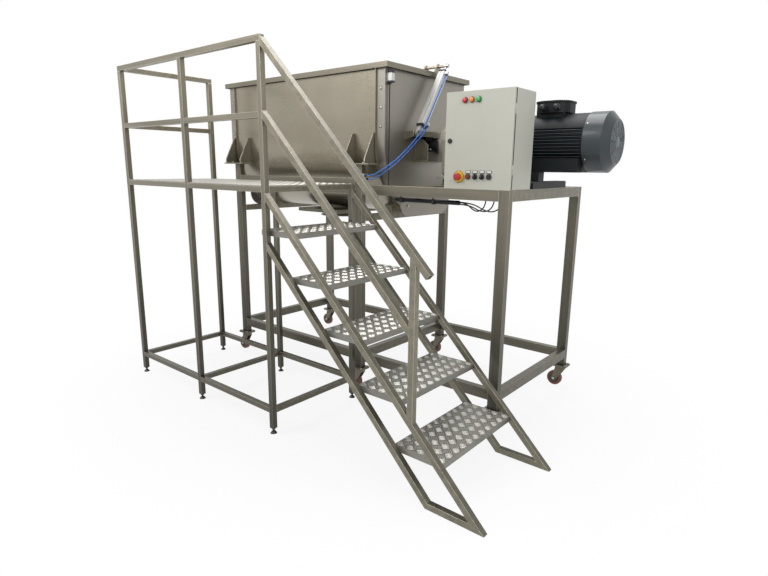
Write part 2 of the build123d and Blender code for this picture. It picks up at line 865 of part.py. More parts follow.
pedestal_x = (trough_end, trough_end + pedestal_depth)
plate_back = pedestal_x[1] - pedestal_plate
seat_top = axis_z - bearing_rise
room_y = (axis_y - pedestal_width / 2 + pedestal_side, axis_y + pedestal_width / 2 - pedestal_side)
with BuildPart() as bearing_pedestal:
    for far_face in (room_y[0], room_y[1] + pedestal_side):
        with BuildSketch(Plane.XZ.offset(-far_face)):
            Polygon(
                (trough_end, pedestal_bottom),
                (pedestal_x[1], pedestal_bottom),
                (pedestal_x[1], pedestal_top - pedestal_chamfer),
                (pedestal_x[1] - pedestal_chamfer, pedestal_top),
                (trough_end, pedestal_top),
                align=None,
            )
        extrude(amount=pedestal_side)
    block((plate_back, pedestal_x[1]), room_y, (pedestal_bottom, seat_top))
    seat_x = (trough_end + seal_depth + pedestal_side, plate_back)
    block(seat_x, room_y, (seat_top - pedestal_side, seat_top))
    flange_y = (room_y[0] - pedestal_side - pedestal_flange, room_y[1] + pedestal_side + pedestal_flange)
    block(pedestal_x, flange_y, (pedestal_bottom, pedestal_bottom + pedestal_side))
pedestals = [bearing_pedestal.part, mirror(bearing_pedestal.part, about=trough_plane)]
save_group(pedestals, "bearing_pedestals")

bearing_x = (pedestal_x[1] - bearing_inset - bearing_depth, pedestal_x[1] - bearing_inset)
with BuildPart() as shaft_bearing:
    round_x(bearing_x, axis_y, axis_z, bearing_rise)
    foot_y = (axis_y - bearing_foot_width / 2, axis_y + bearing_foot_width / 2)
    block(bearing_x, foot_y, (seat_top, seat_top + bearing_foot))
    round_x(bearing_x, axis_y, axis_z, shaft_radius + running_gap, Mode.SUBTRACT)
save_group([shaft_bearing.part, mirror(shaft_bearing.part, about=trough_plane)], "shaft_bearings")

# Agitator: shaft, cross arms, and two ribbons of opposite hand that meet the arms
gearbox_x = pedestal_x[1] + gearbox_gap
shaft_x = (trough_x - shaft_left_reach, gearbox_x + shaft_in_gearbox)
ribbon_pitch = 4 * arm_spacing
ribbon_length = (arm_count - 1) * arm_spacing
outer_edge = inner_radius - ribbon_clearance
arm_reach = outer_edge - outer_ribbon_width - fit_gap
agitator_start = trough_mid - ribbon_length / 2
agitator_place = Plane(origin=(agitator_start, axis_y, axis_z), x_dir=(0, 0, 1), z_dir=(1, 0, 0))
quarter = 90
with BuildPart() as agitator_shaft:
    with Locations((0, 0, shaft_x[0] - agitator_start)):
        Cylinder(shaft_radius, shaft_x[1] - shaft_x[0], align=upward)
shaft_solids = [agitator_shaft.part]
for number in range(arm_count):
    with BuildPart() as arm_pair:
        with Locations(Location((0, 0, number * arm_spacing), (0, 0, number * quarter))):
            Cylinder(arm_radius, 2 * arm_reach, rotation=(0, 90, 0))
        add(agitator_shaft.part, mode=Mode.SUBTRACT)
    shaft_solids.extend(arm_pair.part.solids())
save_group([agitator_place.location * solid for solid in shaft_solids], "agitator_shaft")


def ribbon(outer, width, left_hand, shift):
    """Two flat bars wound on one helix, half a turn apart."""
    mean = outer - width / 2
    with BuildPart() as strip:
        with BuildLine() as helix:
            Helix(ribbon_pitch, ribbon_length, mean, lefthand=left_hand)
        with BuildSketch(Plane(origin=helix.line @ 0, x_dir=(1, 0, 0), z_dir=helix.line % 0)):
            Rectangle(width, ribbon_thickness)
        sweep(is_frenet=True)
    starts = [Location((0, 0, shift), (0, 0, turn)) for turn in (0, 2 * quarter)]
    return [agitator_place.location * start * strip.part for start in starts]


save_group(ribbon(outer_edge, outer_ribbon_width, False, 0), "outer_ribbon")
inner_lead = math.atan(ribbon_pitch / (2 * math.pi * (inner_ribbon_radius - inner_ribbon_width)))
beside_arm = (arm_radius + ribbon_thickness / 2 + fit_gap) / math.cos(inner_lead)
save_group(ribbon(inner_ribbon_radius, inner_ribbon_width, True, beside_arm), "inner_ribbon")

# Shrink collar that clamps the shaft at the gearbox
collar_x = (pedestal_x[1] + collar_end_gap, gearbox_x - collar_end_gap)
with BuildPart() as shaft_collar:
    round_x(collar_x, axis_y, axis_z, collar_radius)
    ring_mid = (collar_x[0] + collar_x[1]) / 2
    round_x((ring_mid - collar_ring / 2, ring_mid + collar_ring / 2), axis_y, axis_z, collar_ring_radius)
    round_x(collar_x, axis_y, axis_z, shaft_radius + running_gap, Mode.SUBTRACT)
save(shaft_collar.part, "shaft_collar")

# Gearbox: output flange, cast housing on a foot, and the bell that carries the motor
housing_start = gearbox_x + output_flange
bell_start = gearbox_x + gearbox_length - motor_flange - bell_length
motor_x = gearbox_x + gearbox_length
with BuildPart() as gearbox:
    round_x((gearbox_x, housing_start), axis_y, axis_z, output_flange_radius)
    with BuildSketch(Plane.YZ.offset(housing_start)):
        with Locations((axis_y, (gearbox_bottom + gearbox_top) / 2)):
            RectangleRounded(gearbox_width, gearbox_top - gearbox_bottom, gearbox_corner)
    extrude(amount=bell_start - housing_start)
    with BuildSketch(Plane.YZ.offset(bell_start)):
        with Locations((axis_y, axis_z)):
            Circle(bell_radius)
    with BuildSketch(Plane.YZ.offset(bell_start + bell_length)):
        with Locations((axis_y, axis_z)):
            Circle(motor_flange_radius - motor_flange)
    loft()
    round_x((motor_x - motor_flange, motor_x), axis_y, axis_z, motor_flange_radius)
    foot_mid = (housing_start + bell_start) / 2
    foot_x = (foot_mid - gearbox_foot_length / 2, foot_mid + gearbox_foot_length / 2)
    foot_y = (axis_y - gearbox_foot_width / 2, axis_y + gearbox_foot_width / 2)
    block(foot_x, foot_y, (gearbox_bottom, gearbox_bottom + gearbox_foot))
    bore_x = (gearbox_x, shaft_x[1] + slide_gap)
    round_x(bore_x, axis_y, axis_z, shaft_radius + running_gap, Mode.SUBTRACT)
save(gearbox.part, "gearbox")

# Drive base: packing bars on the frame's beams, and a block below the motor's front foot
motor_bottom = axis_z - cowl_radius
bar_x = (end_rail_x + rail_width / 2 - drive_bar_width, end_rail_x + rail_width / 2)
bar_y = (axis_y - drive_bar_length / 2, axis_y + drive_bar_length / 2)
bar_top = frame_top + drive_bar_height
drive_base = []
with BuildPart() as gearbox_bars:
    for offset in drive_beam_offsets:
        x = frame_x + offset
        block((x - rail_width / 2, x + rail_width / 2), foot_y, (frame_top, gearbox_bottom))
drive_base.extend(gearbox_bars.part.solids())
with BuildPart() as motor_bar:
    block(bar_x, bar_y, (frame_top, bar_top))
    fillet(motor_bar.edges().filter_by(Axis.X).group_by(Axis.Z)[-1], radius=drive_bar_height / 3)
drive_base.append(motor_bar.part)
foot_half = motor_block_width / 2
front_foot_y = axis_y - motor_foot_spread / 2
with BuildPart() as motor_block:
    block(bar_x, (front_foot_y - foot_half, front_foot_y + foot_half), (bar_top, motor_bottom))
drive_base.append(motor_block.part)
save_group(drive_base, "drive_base")

# Motor frame: flange, finned body, rear shield, pad of the terminal box, and two long feet
body_start = motor_x + motor_flange
body_end = body_start + motor_body_length
motor_end = body_end + motor_shield
fin_pitch = (fin_high - fin_low) / (fin_count + 1)
terminal_bottom = axis_z + terminal_rise
terminal_top = terminal_bottom + terminal_height
terminal_x = body_start + terminal_offset
with BuildPart() as motor_frame:
    round_x((motor_x, body_start), axis_y, axis_z, motor_flange_radius)
    with BuildSketch(Plane.YZ.offset(body_start)):
        with Locations((axis_y, axis_z)):
            with Locations(*[(0, fin_low + number * fin_pitch) for number in range(1, fin_count + 1)]):
                Rectangle(2 * motor_fin_radius, fin_thickness)
            with Locations((0, fin_high)):
                Rectangle(2 * motor_fin_radius, motor_fin_radius, align=(Align.CENTER, Align.MIN))
            with Locations((0, fin_low)):
                Rectangle(2 * motor_fin_radius, motor_fin_radius, align=(Align.CENTER, Align.MAX))
            Circle(motor_fin_radius, mode=Mode.INTERSECT)
            Circle(motor_core_radius)
    extrude(amount=motor_body_length)
    round_x((body_end, motor_end), axis_y, axis_z, cowl_radius - cowl_sheet - fit_gap)
    pad = terminal_size / 2 - terminal_pad_inset
    block(
        (terminal_x - pad, terminal_x + pad),
        (axis_y - pad, axis_y + pad),
        (axis_z + motor_core_radius / 2, terminal_bottom),
    )
    shaft_bore_x = (motor_end - fan_shaft_length, motor_end)
    round_x(shaft_bore_x, axis_y, axis_z, fan_shaft_radius + running_gap, Mode.SUBTRACT)
    with BuildSketch(Plane.XY.offset(terminal_bottom)):
        with Locations((terminal_x, axis_y)):
            RectangleRounded(terminal_size, terminal_size, terminal_corner)
    extrude(amount=terminal_top - terminal_bottom, mode=Mode.SUBTRACT)
motor_solids = [motor_frame.part]
for side in (-1, 1):
    y = axis_y + side * motor_foot_spread / 2
    with BuildPart() as motor_foot:
        block((body_start, body_end), (y - foot_half, y + foot_half), (motor_bottom, axis_z + fin_low))
        round_x((body_start, body_end), axis_y, axis_z, motor_fin_radius, Mode.SUBTRACT)
    motor_solids.append(motor_foot.part)
save_group(motor_solids, "motor_frame")

with BuildPart() as terminal_box:
    with BuildSketch(Plane.XY.offset(terminal_bottom)):
        with Locations((terminal_x, axis_y)):
            RectangleRounded(terminal_size, terminal_size, terminal_corner)
    extrude(amount=terminal_top - terminal_lid - terminal_bottom)
    lid_size = terminal_size + 2 * terminal_lid_lap
    with BuildSketch(Plane.XY.offset(terminal_top - terminal_lid)):
        with Locations((terminal_x, axis_y)):
            RectangleRounded(lid_size, lid_size, terminal_corner + terminal_lid_lap)
    extrude(amount=terminal_lid)
    box_front = axis_y - terminal_size / 2
    gland_z = (terminal_bottom + terminal_top - terminal_lid) / 2
    for side in (-1, 1):
        gland_y = (box_front - gland_length, box_front + gland_length)
        round_y(terminal_x + gland_shift + side * gland_pitch / 2, gland_y, gland_z, gland_radius)
save(terminal_box.part, "terminal_box")

# Fan cowl: sheet drum with a coned end and a slotted grille
cowl_start = motor_end - motor_shield / 2
cone_start = motor_end + cowl_length
cowl_end = cone_start + cowl_cone_length
turning = Plane(origin=(0, axis_y, axis_z), x_dir=(1, 0, 0), z_dir=(0, -1, 0))
with BuildPart() as fan_cowl:
    with BuildSketch(turning):
        Polygon(
            (cowl_start, cowl_radius - cowl_sheet),
            (cowl_start, cowl_radius),
            (cone_start, cowl_radius),
            (cowl_end, cowl_face_radius),
            (cowl_end, 0),
            (cowl_end - cowl_sheet, 0),
            (cowl_end - cowl_sheet, cowl_face_radius - cowl_sheet),
            (cone_start - cowl_sheet, cowl_radius - cowl_sheet),
            align=None,
        )
    revolve(axis=Axis((0, axis_y, axis_z), (1, 0, 0)))
    with BuildSketch(Plane.YZ.offset(cowl_end)):
        with Locations((axis_y, axis_z)):
            for inner, outer in (grille_ring_radii[:2], grille_ring_radii[2:]):
                with PolarLocations((inner + outer) / 2, grille_slots):
                    Rectangle(outer - inner, grille_slot_width * inner / grille_ring_radii[2])
    extrude(amount=-cowl_sheet, mode=Mode.SUBTRACT)
save(fan_cowl.part, "fan_cowl")

# Cooling fan on the motor's rear shaft end
fan_x = (motor_end + fan_blade, motor_end + fan_blade + fan_blade_length)
with BuildPart() as motor_fan:
    round_x((shaft_bore_x[0] + slide_gap, fan_x[1]), axis_y, axis_z, fan_shaft_radius)
    round_x(fan_x, axis_y, axis_z, fan_hub_radius)
    round_x((fan_x[0], fan_x[0] + fan_blade), axis_y, axis_z, fan_radius)
    with BuildSketch(Plane.YZ.offset(fan_x[0])):
        with Locations((axis_y, axis_z)):
            with PolarLocations((fan_hub_radius + fan_radius) / 2, fan_blades):
                Rectangle(fan_radius - fan_hub_radius + fan_blade, fan_blade)
    extrude(amount=fan_blade_length)
save(motor_fan.part, "motor_fan")

# Lid: folded pan with ribs below, hinge arms behind
skirt_z = (lid_top - lid_skirt, lid_top)
sheet_under = lid_top - lid_sheet
with BuildPart() as lid_panel:
    block(lid_x, lid_y, skirt_z)
    block(
        (lid_x[0] + lid_sheet, lid_x[1] - lid_sheet),
        (lid_y[0] + lid_sheet, lid_y[1] - lid_sheet),
        (skirt_z[0], sheet_under),
        Mode.SUBTRACT,
    )
    rib_y = (axis_y - inner_radius + seal_strip_width, axis_y + inner_radius - seal_strip_width)
    rib_step = trough_length / (lid_rib_count + 1)
    for number in range(1, lid_rib_count + 1):
        x = trough_x + number * rib_step
        rib_x = (x - lid_rib_width / 2, x + lid_rib_width / 2)
        block(rib_x, rib_y, (sheet_under - lid_rib_height, sheet_under))
lid_solids = [lid_panel.part]
for x in hinge_x:
    for side in (-1, 1):
        near = x + side * (hinge_lug / 2 + fit_gap)
        arm_x = sorted((near, near + side * hinge_arm))
        with BuildPart() as hinge_plate:
            with BuildSketch(Plane.YZ.offset(arm_x[0])):
                with Locations((hinge_y, hinge_z)):
                    Circle(hinge_eye_radius)
                Polygon(
                    (lid_y[1], skirt_z[0]),
                    (hinge_y, hinge_z - hinge_eye_radius),
                    (hinge_y + hinge_eye_radius, hinge_z),
                    (lid_y[1], sheet_under),
                    align=None,
                )
                with Locations((hinge_y, hinge_z)):
                    Circle(hinge_pin_radius + running_gap, mode=Mode.SUBTRACT)
            extrude(amount=hinge_arm)
        lid_solids.append(hinge_plate.part)
save_group(lid_solids, "lid_panel")

# Rubber strip under the lid, round the rim
strip_out = (trough_length / 2 + rim_flange - trough_wall, trough_radius + rim_flange - trough_wall)
with BuildPart() as lid_seal:
    with BuildSketch(Plane.XY.offset(rim_height + fit_gap)):
        with Locations((trough_mid, axis_y)):
            Rectangle(2 * strip_out[0], 2 * strip_out[1])
            strip_in = [reach - seal_strip_width for reach in strip_out]
            Rectangle(2 * strip_in[0], 2 * strip_in[1], mode=Mode.SUBTRACT)
    extrude(amount=sheet_under - rim_height - fit_gap)
save(lid_seal.part, "lid_seal")

# Bar on the lid that the lift cylinder pushes
lift_x = trough_end + lift_offset
pin_y = hinge_y - lift_pin_forward
pin_z = hinge_z + lift_pin_up
bar_end = lift_x - eye_width / 2 - slide_gap
with BuildPart() as lid_arm:
    round_x((trough_end - lid_bar_inset, bar_end), pin_y, pin_z, lid_bar_radius)
    for x in (trough_end - lid_bar_inset + lid_lug, lid_x[1] - 2 * lid_lug):
        with BuildSketch(Plane.YZ.offset(x)):
            with Locations((pin_y, pin_z)):
                Circle(2 * lid_bar_radius)
            Polygon(
                (pin_y - lid_lug_width, lid_top),
                (pin_y + lid_lug_width, lid_top),
                (pin_y + 2 * lid_bar_radius, pin_z),
                (pin_y - 2 * lid_bar_radius, pin_z),
                align=None,
            )
        extrude(amount=lid_lug)
save(lid_arm.part, "lid_arm")

# Lift cylinder: profile barrel on a rear pivot, then rod and piston with an eye
pivot = Vector(lift_x, axis_y - lift_pivot_forward, lift_pivot_height)
pin = Vector(lift_x, pin_y, pin_z)
lift_plane = Plane(origin=pivot, x_dir=(1, 0, 0), z_dir=pin - pivot)
lift_length = (pin - pivot).length
lift_angle = math.degrees(math.atan2(pin.Z - pivot.Z, pin.Y - pivot.Y))
bore_start = barrel_start + barrel_cap
bore_end = barrel_start + barrel_length - barrel_cap
front_port = bore_end - port_length
eye_x = (lift_x - rear_eye_width / 2, lift_x + rear_eye_width / 2)
with BuildPart() as cylinder_barrel:
    with BuildSketch(lift_plane.offset(barrel_start)):
        RectangleRounded(barrel_size, barrel_size, barrel_groove / 2)
    extrude(amount=barrel_length)
    with BuildSketch(lift_plane.offset(bore_start)):
        with PolarLocations((barrel_size - barrel_groove_depth) / 2, 4):
            Rectangle(barrel_groove_depth, barrel_groove)
    extrude(amount=bore_end - bore_start, mode=Mode.SUBTRACT)
    with BuildSketch(Plane.YZ.offset(eye_x[0])):
        with Locations((pivot.Y, pivot.Z)):
            Circle(rear_eye_radius)
            tongue = (barrel_start, 2 * rear_eye_radius)
            Rectangle(*tongue, rotation=lift_angle, align=(Align.MIN, Align.CENTER))
    extrude(amount=rear_eye_width)
    for place, side in ((front_port, -1), (bore_start, 1)):
        port = Location((barrel_size / 2, side * port_spread, place))
        with Locations(lift_plane.location * port):
            Box(port_reach, port_size, port_length, align=(Align.MIN, Align.CENTER, Align.MIN))
    with BuildSketch(lift_plane.offset(bore_start)):
        Circle(piston_radius + running_gap)
    extrude(amount=bore_end - bore_start, mode=Mode.SUBTRACT)
    with BuildSketch(lift_plane.offset(bore_end)):
        Circle(rod_radius + running_gap)
    extrude(amount=barrel_cap, mode=Mode.SUBTRACT)
    round_x(eye_x, pivot.Y, pivot.Z, pivot_pin_radius + running_gap, Mode.SUBTRACT)
save(cylinder_barrel.part, "cylinder_barrel")

piston_start = bore_start + slide_gap
with BuildPart() as piston_rod:
    with BuildSketch(lift_plane.offset(piston_start)):
        Circle(piston_radius)
    extrude(amount=piston_length)
    with BuildSketch(lift_plane.offset(piston_start + piston_length)):
        Circle(rod_radius)
    extrude(amount=lift_length - piston_start - piston_length)
    eye_side = lift_x + eye_width / 2
    round_x((lift_x - eye_width / 2, eye_side), pin_y, pin_z, eye_radius)
    round_x((eye_side, eye_side + bolt_head), pin_y, pin_z, bolt_head_radius)
save(piston_rod.part, "piston_rod")

# Bracket on the end wall that carries the cylinder's pivot
lug_inner = (eye_x[0] - fit_gap - shelf_plate, eye_x[0] - fit_gap)
lug_outer = (eye_x[1] + fit_gap, eye_x[1] + fit_gap + shelf_plate)
shelf_y = (axis_y - shelf_forward, axis_y + shelf_back)
shelf_z = (shelf_height - shelf_plate, shelf_height)
lug_z = (shelf_height - shelf_lip, shelf_height)
slot_end = pivot.Y + shelf_slot_reach
with BuildPart() as cylinder_bracket:
    block((trough_end, lug_outer[1]), shelf_y, shelf_z)
    block((lug_inner[1], lug_outer[0]), (shelf_y[0], slot_end), shelf_z, Mode.SUBTRACT)
    block(lug_outer, shelf_y, lug_z)
    block(lug_inner, (shelf_y[0], slot_end), lug_z)
    for far_face, reach in ((shelf_y[0] + shelf_plate, lug_inner[0]), (shelf_y[1], lug_outer[0])):
        with BuildSketch(Plane.XZ.offset(-far_face)):
            Polygon(
                (trough_end, shelf_z[1]),
                (reach, shelf_z[1]),
                (reach, lug_z[0]),
                (trough_end, shelf_z[0] - shelf_gusset),
                align=None,
            )
        extrude(amount=shelf_plate)
    round_x((lug_inner[0], lug_outer[1]), pivot.Y, pivot.Z, pivot_pin_radius)
save(cylinder_bracket.part, "cylinder_bracket")

# Cabinet body with a folded return round its opening
cabinet_x = (frame_x + frame_length - cabinet_width, frame_x + frame_length)
cabinet_y = (frame_y + door_depth, frame_y + cabinet_depth)
cabinet_z = (frame_top, frame_top + cabinet_height)
inside_x = (cabinet_x[0] + cabinet_sheet, cabinet_x[1] - cabinet_sheet)
inside_y = (cabinet_y[0] + cabinet_sheet, cabinet_y[1] - cabinet_sheet)
inside_z = (cabinet_z[0] + cabinet_sheet, cabinet_z[1] - cabinet_sheet)
opening_x = (cabinet_x[0] + cabinet_return, cabinet_x[1] - cabinet_return)
opening_z = (cabinet_z[0] + cabinet_return, cabinet_z[1] - cabinet_return)
cabinet_mid_z = (cabinet_z[0] + cabinet_z[1]) / 2
hinge_line = (cabinet_x[1], cabinet_y[0])
knuckle_z = (cabinet_mid_z - door_hinge_spread / 2, cabinet_mid_z + door_hinge_spread / 2)
with BuildPart() as cabinet_body:
    block(cabinet_x, cabinet_y, cabinet_z)
    block(inside_x, inside_y, inside_z, Mode.SUBTRACT)
    block(opening_x, (cabinet_y[0], inside_y[0]), opening_z, Mode.SUBTRACT)
    for z in knuckle_z:
        door_knuckle_z = (z, z + door_knuckle)
        round_z(*hinge_line, door_knuckle_z, door_hinge_radius + slide_gap, Mode.SUBTRACT)
        round_z(*hinge_line, (z - door_knuckle, z), door_hinge_radius)
        round_z(*hinge_line, (z - door_knuckle, z + door_knuckle), door_pin_radius)
save(cabinet_body.part, "cabinet_body")

# Mounting plate with the switchgear, on stand-offs from the back wall
plate_y = (inside_y[1] - gear_standoff - gear_plate, inside_y[1] - gear_standoff)
plate_x = (inside_x[0] + gear_plate_inset, inside_x[1] - gear_plate_inset)
plate_z = (inside_z[0] + gear_plate_inset, inside_z[1] - gear_plate_inset)
gear_mid = ((cabinet_x[0] + cabinet_x[1]) / 2, cabinet_mid_z)
with BuildPart() as control_gear:
    block(plate_x, plate_y, plate_z)
    for x in (plate_x[0] + gear_plate_inset, plate_x[1] - gear_plate_inset):
        for z in (plate_z[0] + gear_plate_inset, plate_z[1] - gear_plate_inset):
            round_y(x, (plate_y[1], inside_y[1]), z, gear_standoff_radius)
    for across_mid, above_mid, width, height in gear_blocks:
        x = gear_mid[0] + across_mid
        z = gear_mid[1] + above_mid
        gear_y = (plate_y[0] - gear_depth, plate_y[0])
        block((x - width / 2, x + width / 2), gear_y, (z - height / 2, z + height / 2))
save(control_gear.part, "control_gear")

# Cabinet door: a shallow pan pierced for its lamps, buttons and lock
face = frame_y
door_back = cabinet_y[0] - door_gap
lamp_z = cabinet_z[1] - lamp_row_drop
button_z = cabinet_z[0] + button_row_rise
estop_z = cabinet_z[0] + estop_rise
lock_z = cabinet_mid_z
lock_x = cabinet_x[0] + lock_inset
lamp_x = [cabinet_x[0] + place for place in lamp_places]
button_x = [cabinet_x[0] + place for place in button_places]
estop_x = cabinet_x[0] + estop_place
devices = [(x, lamp_z) for x in lamp_x] + [(x, button_z) for x in button_x] + [(estop_x, estop_z)]
sheet_y = (face, face + cabinet_sheet)
with BuildPart() as cabinet_door:
    block(cabinet_x, (face, door_back), cabinet_z)
    block(inside_x, (face + cabinet_sheet, door_back), inside_z, Mode.SUBTRACT)
    for x, z in devices:
        round_y(x, sheet_y, z, device_radius + fit_gap, Mode.SUBTRACT)
    round_y(lock_x, sheet_y, lock_z, lock_stem_radius + fit_gap, Mode.SUBTRACT)
    for z in knuckle_z:
        door_knuckle_z = (z + fit_gap, z + door_knuckle - fit_gap)
        block((inside_x[1], cabinet_x[1]), (door_back, cabinet_y[0]), door_knuckle_z)
        round_z(*hinge_line, door_knuckle_z, door_hinge_radius)
        round_z(*hinge_line, door_knuckle_z, door_pin_radius + running_gap, Mode.SUBTRACT)
save(cabinet_door.part, "cabinet_door")

# Bezels, lamps, emergency stop collar and the contact blocks behind them
neck_end = face + cabinet_sheet + device_neck
well_y = (face - bezel_height, face - bezel_height + device_well)
stem_hole_y = (well_y[1], well_y[1] + stem_length + stem_end_gap)
fittings = []
for x, z in devices:
    with BuildPart() as fitting:
        round_y(x, (face, neck_end), z, device_radius)
        half_block = contact_block / 2
        contact_y = (neck_end, neck_end + contact_depth)
        block((x - half_block, x + half_block), contact_y, (z - half_block, z + half_block))
        if z == lamp_z:
            round_y(x, (face - lamp_height, face), z, lamp_radius)
            fillet(fitting.faces().sort_by(Axis.Y)[0].edges(), radius=lamp_height / 3)
        elif z == estop_z:
            round_y(x, (face - bezel_height, face), z, estop_collar_radius)
        else:
            round_y(x, (face - bezel_height, face), z, bezel_radius)
            round_y(x, well_y, z, device_well_radius, Mode.SUBTRACT)
        if z != lamp_z:
            hole_y = (face - bezel_height, stem_hole_y[1])
            round_y(x, hole_y, z, stem_radius + running_gap, Mode.SUBTRACT)
    fittings.append(fitting.part)
save_group(fittings, "panel_fittings")


def pushbutton(x):
    """A flat cap in its bezel, with the stem behind it."""
    with BuildPart() as button:
        cap_front = well_y[0] - device_proud
        round_y(x, (cap_front, cap_front + device_cap), button_z, device_cap_radius)
        round_y(x, (cap_front + device_cap, well_y[1] + stem_length), button_z, stem_radius)
    return button.part


def selector(x):
    """A round knob with a grip bar across it, turning in its bezel."""
    with BuildPart() as knob:
        knob_front = well_y[0] - device_proud
        round_y(x, (knob_front, knob_front + device_cap), button_z, device_cap_radius)
        round_y(x, (knob_front + device_cap, well_y[1] + stem_length), button_z, stem_radius)
        grip_x = (x - selector_grip_width / 2, x + selector_grip_width / 2)
        grip_z = (button_z - device_cap_radius, button_z + device_cap_radius)
        block(grip_x, (knob_front - selector_grip, knob_front), grip_z)
    return knob.part


save(pushbutton(button_x[0]), "stop_button")
save(selector(button_x[1]), "selector_left")
save(selector(button_x[2]), "selector_right")
save(pushbutton(button_x[3]), "start_button")

with BuildPart() as estop_button:
    head_back = face - bezel_height - estop_gap
    round_y(estop_x, (head_back - estop_height, head_back), estop_z, estop_radius)
    fillet(estop_button.edges().filter_by(GeomType.CIRCLE).sort_by(Axis.Y)[0], radius=estop_height / 2)
    round_y(estop_x, (head_back, well_y[1] + stem_length), estop_z, stem_radius)
save(estop_button.part, "estop_button")

with BuildPart() as door_lock:
    round_y(lock_x, (face - fit_gap - lock_head, face - fit_gap), lock_z, lock_radius)
    cam_y = (door_back - lock_cam, door_back)
    round_y(lock_x, (face - fit_gap, door_back), lock_z, lock_stem_radius)
    cam_x = (lock_x - lock_stem_radius, lock_x + lock_stem_radius)
    block(cam_x, cam_y, (lock_z, lock_z + lock_cam_length))
save(door_lock.part, "door_lock")

# Limit switch on the end wall, and the valve on the middle leg that the hoses reach
switch_y = (axis_y - trough_radius + switch_inset, axis_y - trough_radius + switch_inset + switch_width)
switch_top = lid_top - lid_skirt - switch_drop
switch_bottom = switch_top - switch_height
switch_x = (trough_end + switch_plate, trough_end + switch_plate + switch_depth)
valve_x = leg_x[1] + leg_half
valve_mid = leg_y[0] - valve_forward
fitting_places = (
    (valve_mid - fitting_spread, valve_bottom + valve_height - 2 * fitting_radius),
    (valve_mid + fitting_spread, valve_bottom + 2 * fitting_radius),
)
with BuildPart() as limit_switch:
    block((trough_end, switch_x[0]), switch_y, (switch_bottom, switch_top))
    block(switch_x, switch_y, (switch_bottom, switch_top))
with BuildPart() as hose_valve:
    valve_y = (valve_mid - valve_width / 2, valve_mid + valve_width / 2)
    block((valve_x, valve_x + valve_length), valve_y, (valve_bottom, valve_bottom + valve_height))
    fitting_x = (valve_x + valve_length, valve_x + valve_length + fitting_length)
    for y, z in fitting_places:
        round_x(fitting_x, y, z, fitting_radius)
save_group([limit_switch.part, hose_valve.part], "field_devices")

# Cables: the switch's cable, a clipped bundle below the rail, and loops up to the cabinet's glands


def from_post(x, y, z):
    """A point given from the platform's front left post."""
    return (platform_x + x, platform_y + y, z)


bundle_y = inner_y[0] + bundle_behind_rail
bundle_z = frame_top - rail_height - bundle_drop
bundle_radius = bundle_diameter / 2
bundle_x = (platform_x + bundle_start, platform_x + bundle_end)
cable_x = trough_end + switch_cable_out
cable_y = (switch_y[0] + switch_y[1]) / 2
cable_turn = bundle_z + rail_height
switch_route = [(cable_x, cable_y, switch_bottom), (cable_x, cable_y, cable_turn)]
switch_route += [from_post(*point) for point in cable_tail]
switch_route.append((bundle_x[0], bundle_y, bundle_z))
cables = [cord(switch_route, cable_diameter)]
with BuildPart() as bundle:
    round_x(bundle_x, bundle_y, bundle_z, bundle_radius)
cables.append(bundle.part)
for place in clip_places:
    with BuildPart() as clip:
        x = platform_x + place
        clip_x = (x - clip_width / 2, x + clip_width / 2)
        clip_z = (bundle_z - bundle_radius - clip_sheet, bundle_z - bundle_radius)
        block(clip_x, (inner_y[0], bundle_y + bundle_radius), clip_z)
        block(clip_x, (inner_y[0], inner_y[0] + clip_sheet), (clip_z[0], top_z))
    cables.append(clip.part)
for number, rise in enumerate(loop_start_drop):
    shift = number * loop_pitch
    lane = number * loop_lane
    start_y = bundle_y - loop_lane_start + number * loop_lane_start
    gland_x = cabinet_x[0] + loop_gland_inset + shift
    gland_y = bundle_y + loop_gland_behind + lane
    gland = (gland_x, gland_y, frame_top - gland_stub)
    lowest_x = bundle_x[1] + loop_run + loop_spread[1] * shift
    turning_x = gland_x - loop_before_gland - loop_spread[2] * shift
    route = [
        (bundle_x[1], start_y, bundle_z + rise),
        (bundle_x[1] + loop_pitch + loop_spread[0] * shift, start_y, bundle_z + rise),
        (lowest_x, gland_y - loop_forward[0], bundle_z - loop_sag[0]),
        (turning_x, gland_y - loop_forward[1], bundle_z - loop_sag[1]),
        (gland_x, gland_y, gland[2] - loop_rise),
        gland,
    ]
    cables.append(cord(route, cable_diameter))
    with BuildPart() as gland_body:
        with Locations(gland):
            Cylinder(gland_stub_radius, gland_stub, align=upward)
    cables.append(gland_body.part)
save_group(cables, "cables")

# Air hoses, from the cylinder's ports along the barrel and in a free arc to the valve
hose_reach = barrel_size / 2 + port_reach - port_size / 2
ports = ((front_port, -port_spread), (bore_start, port_spread))
arcs = (front_hose_arc, rear_hose_arc)
names = ("air_hose_front", "air_hose_rear")
for name, (start, side), leave, arc, (y, z) in zip(names, ports, hose_leave, arcs, fitting_places):
    along = [Vector(hose_reach, side, start), Vector(hose_reach, side, leave)]
    route = [tuple(lift_plane.from_local_coords(point)) for point in along]
    route += [from_post(*point) for point in arc]
    route += [(fitting_x[1] + hose_lead, y, z), (fitting_x[1], y, z)]
    save(cord(route, hose_diameter), name)
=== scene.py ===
"""Dresses the ribbon blender's solids: finishes, hoses, cables, tread bars, fasteners and trim."""

import functools
from math import ceil, cos, pi, radians, sin, sqrt

import bmesh
import bpy
from mathutils import Matrix, Vector


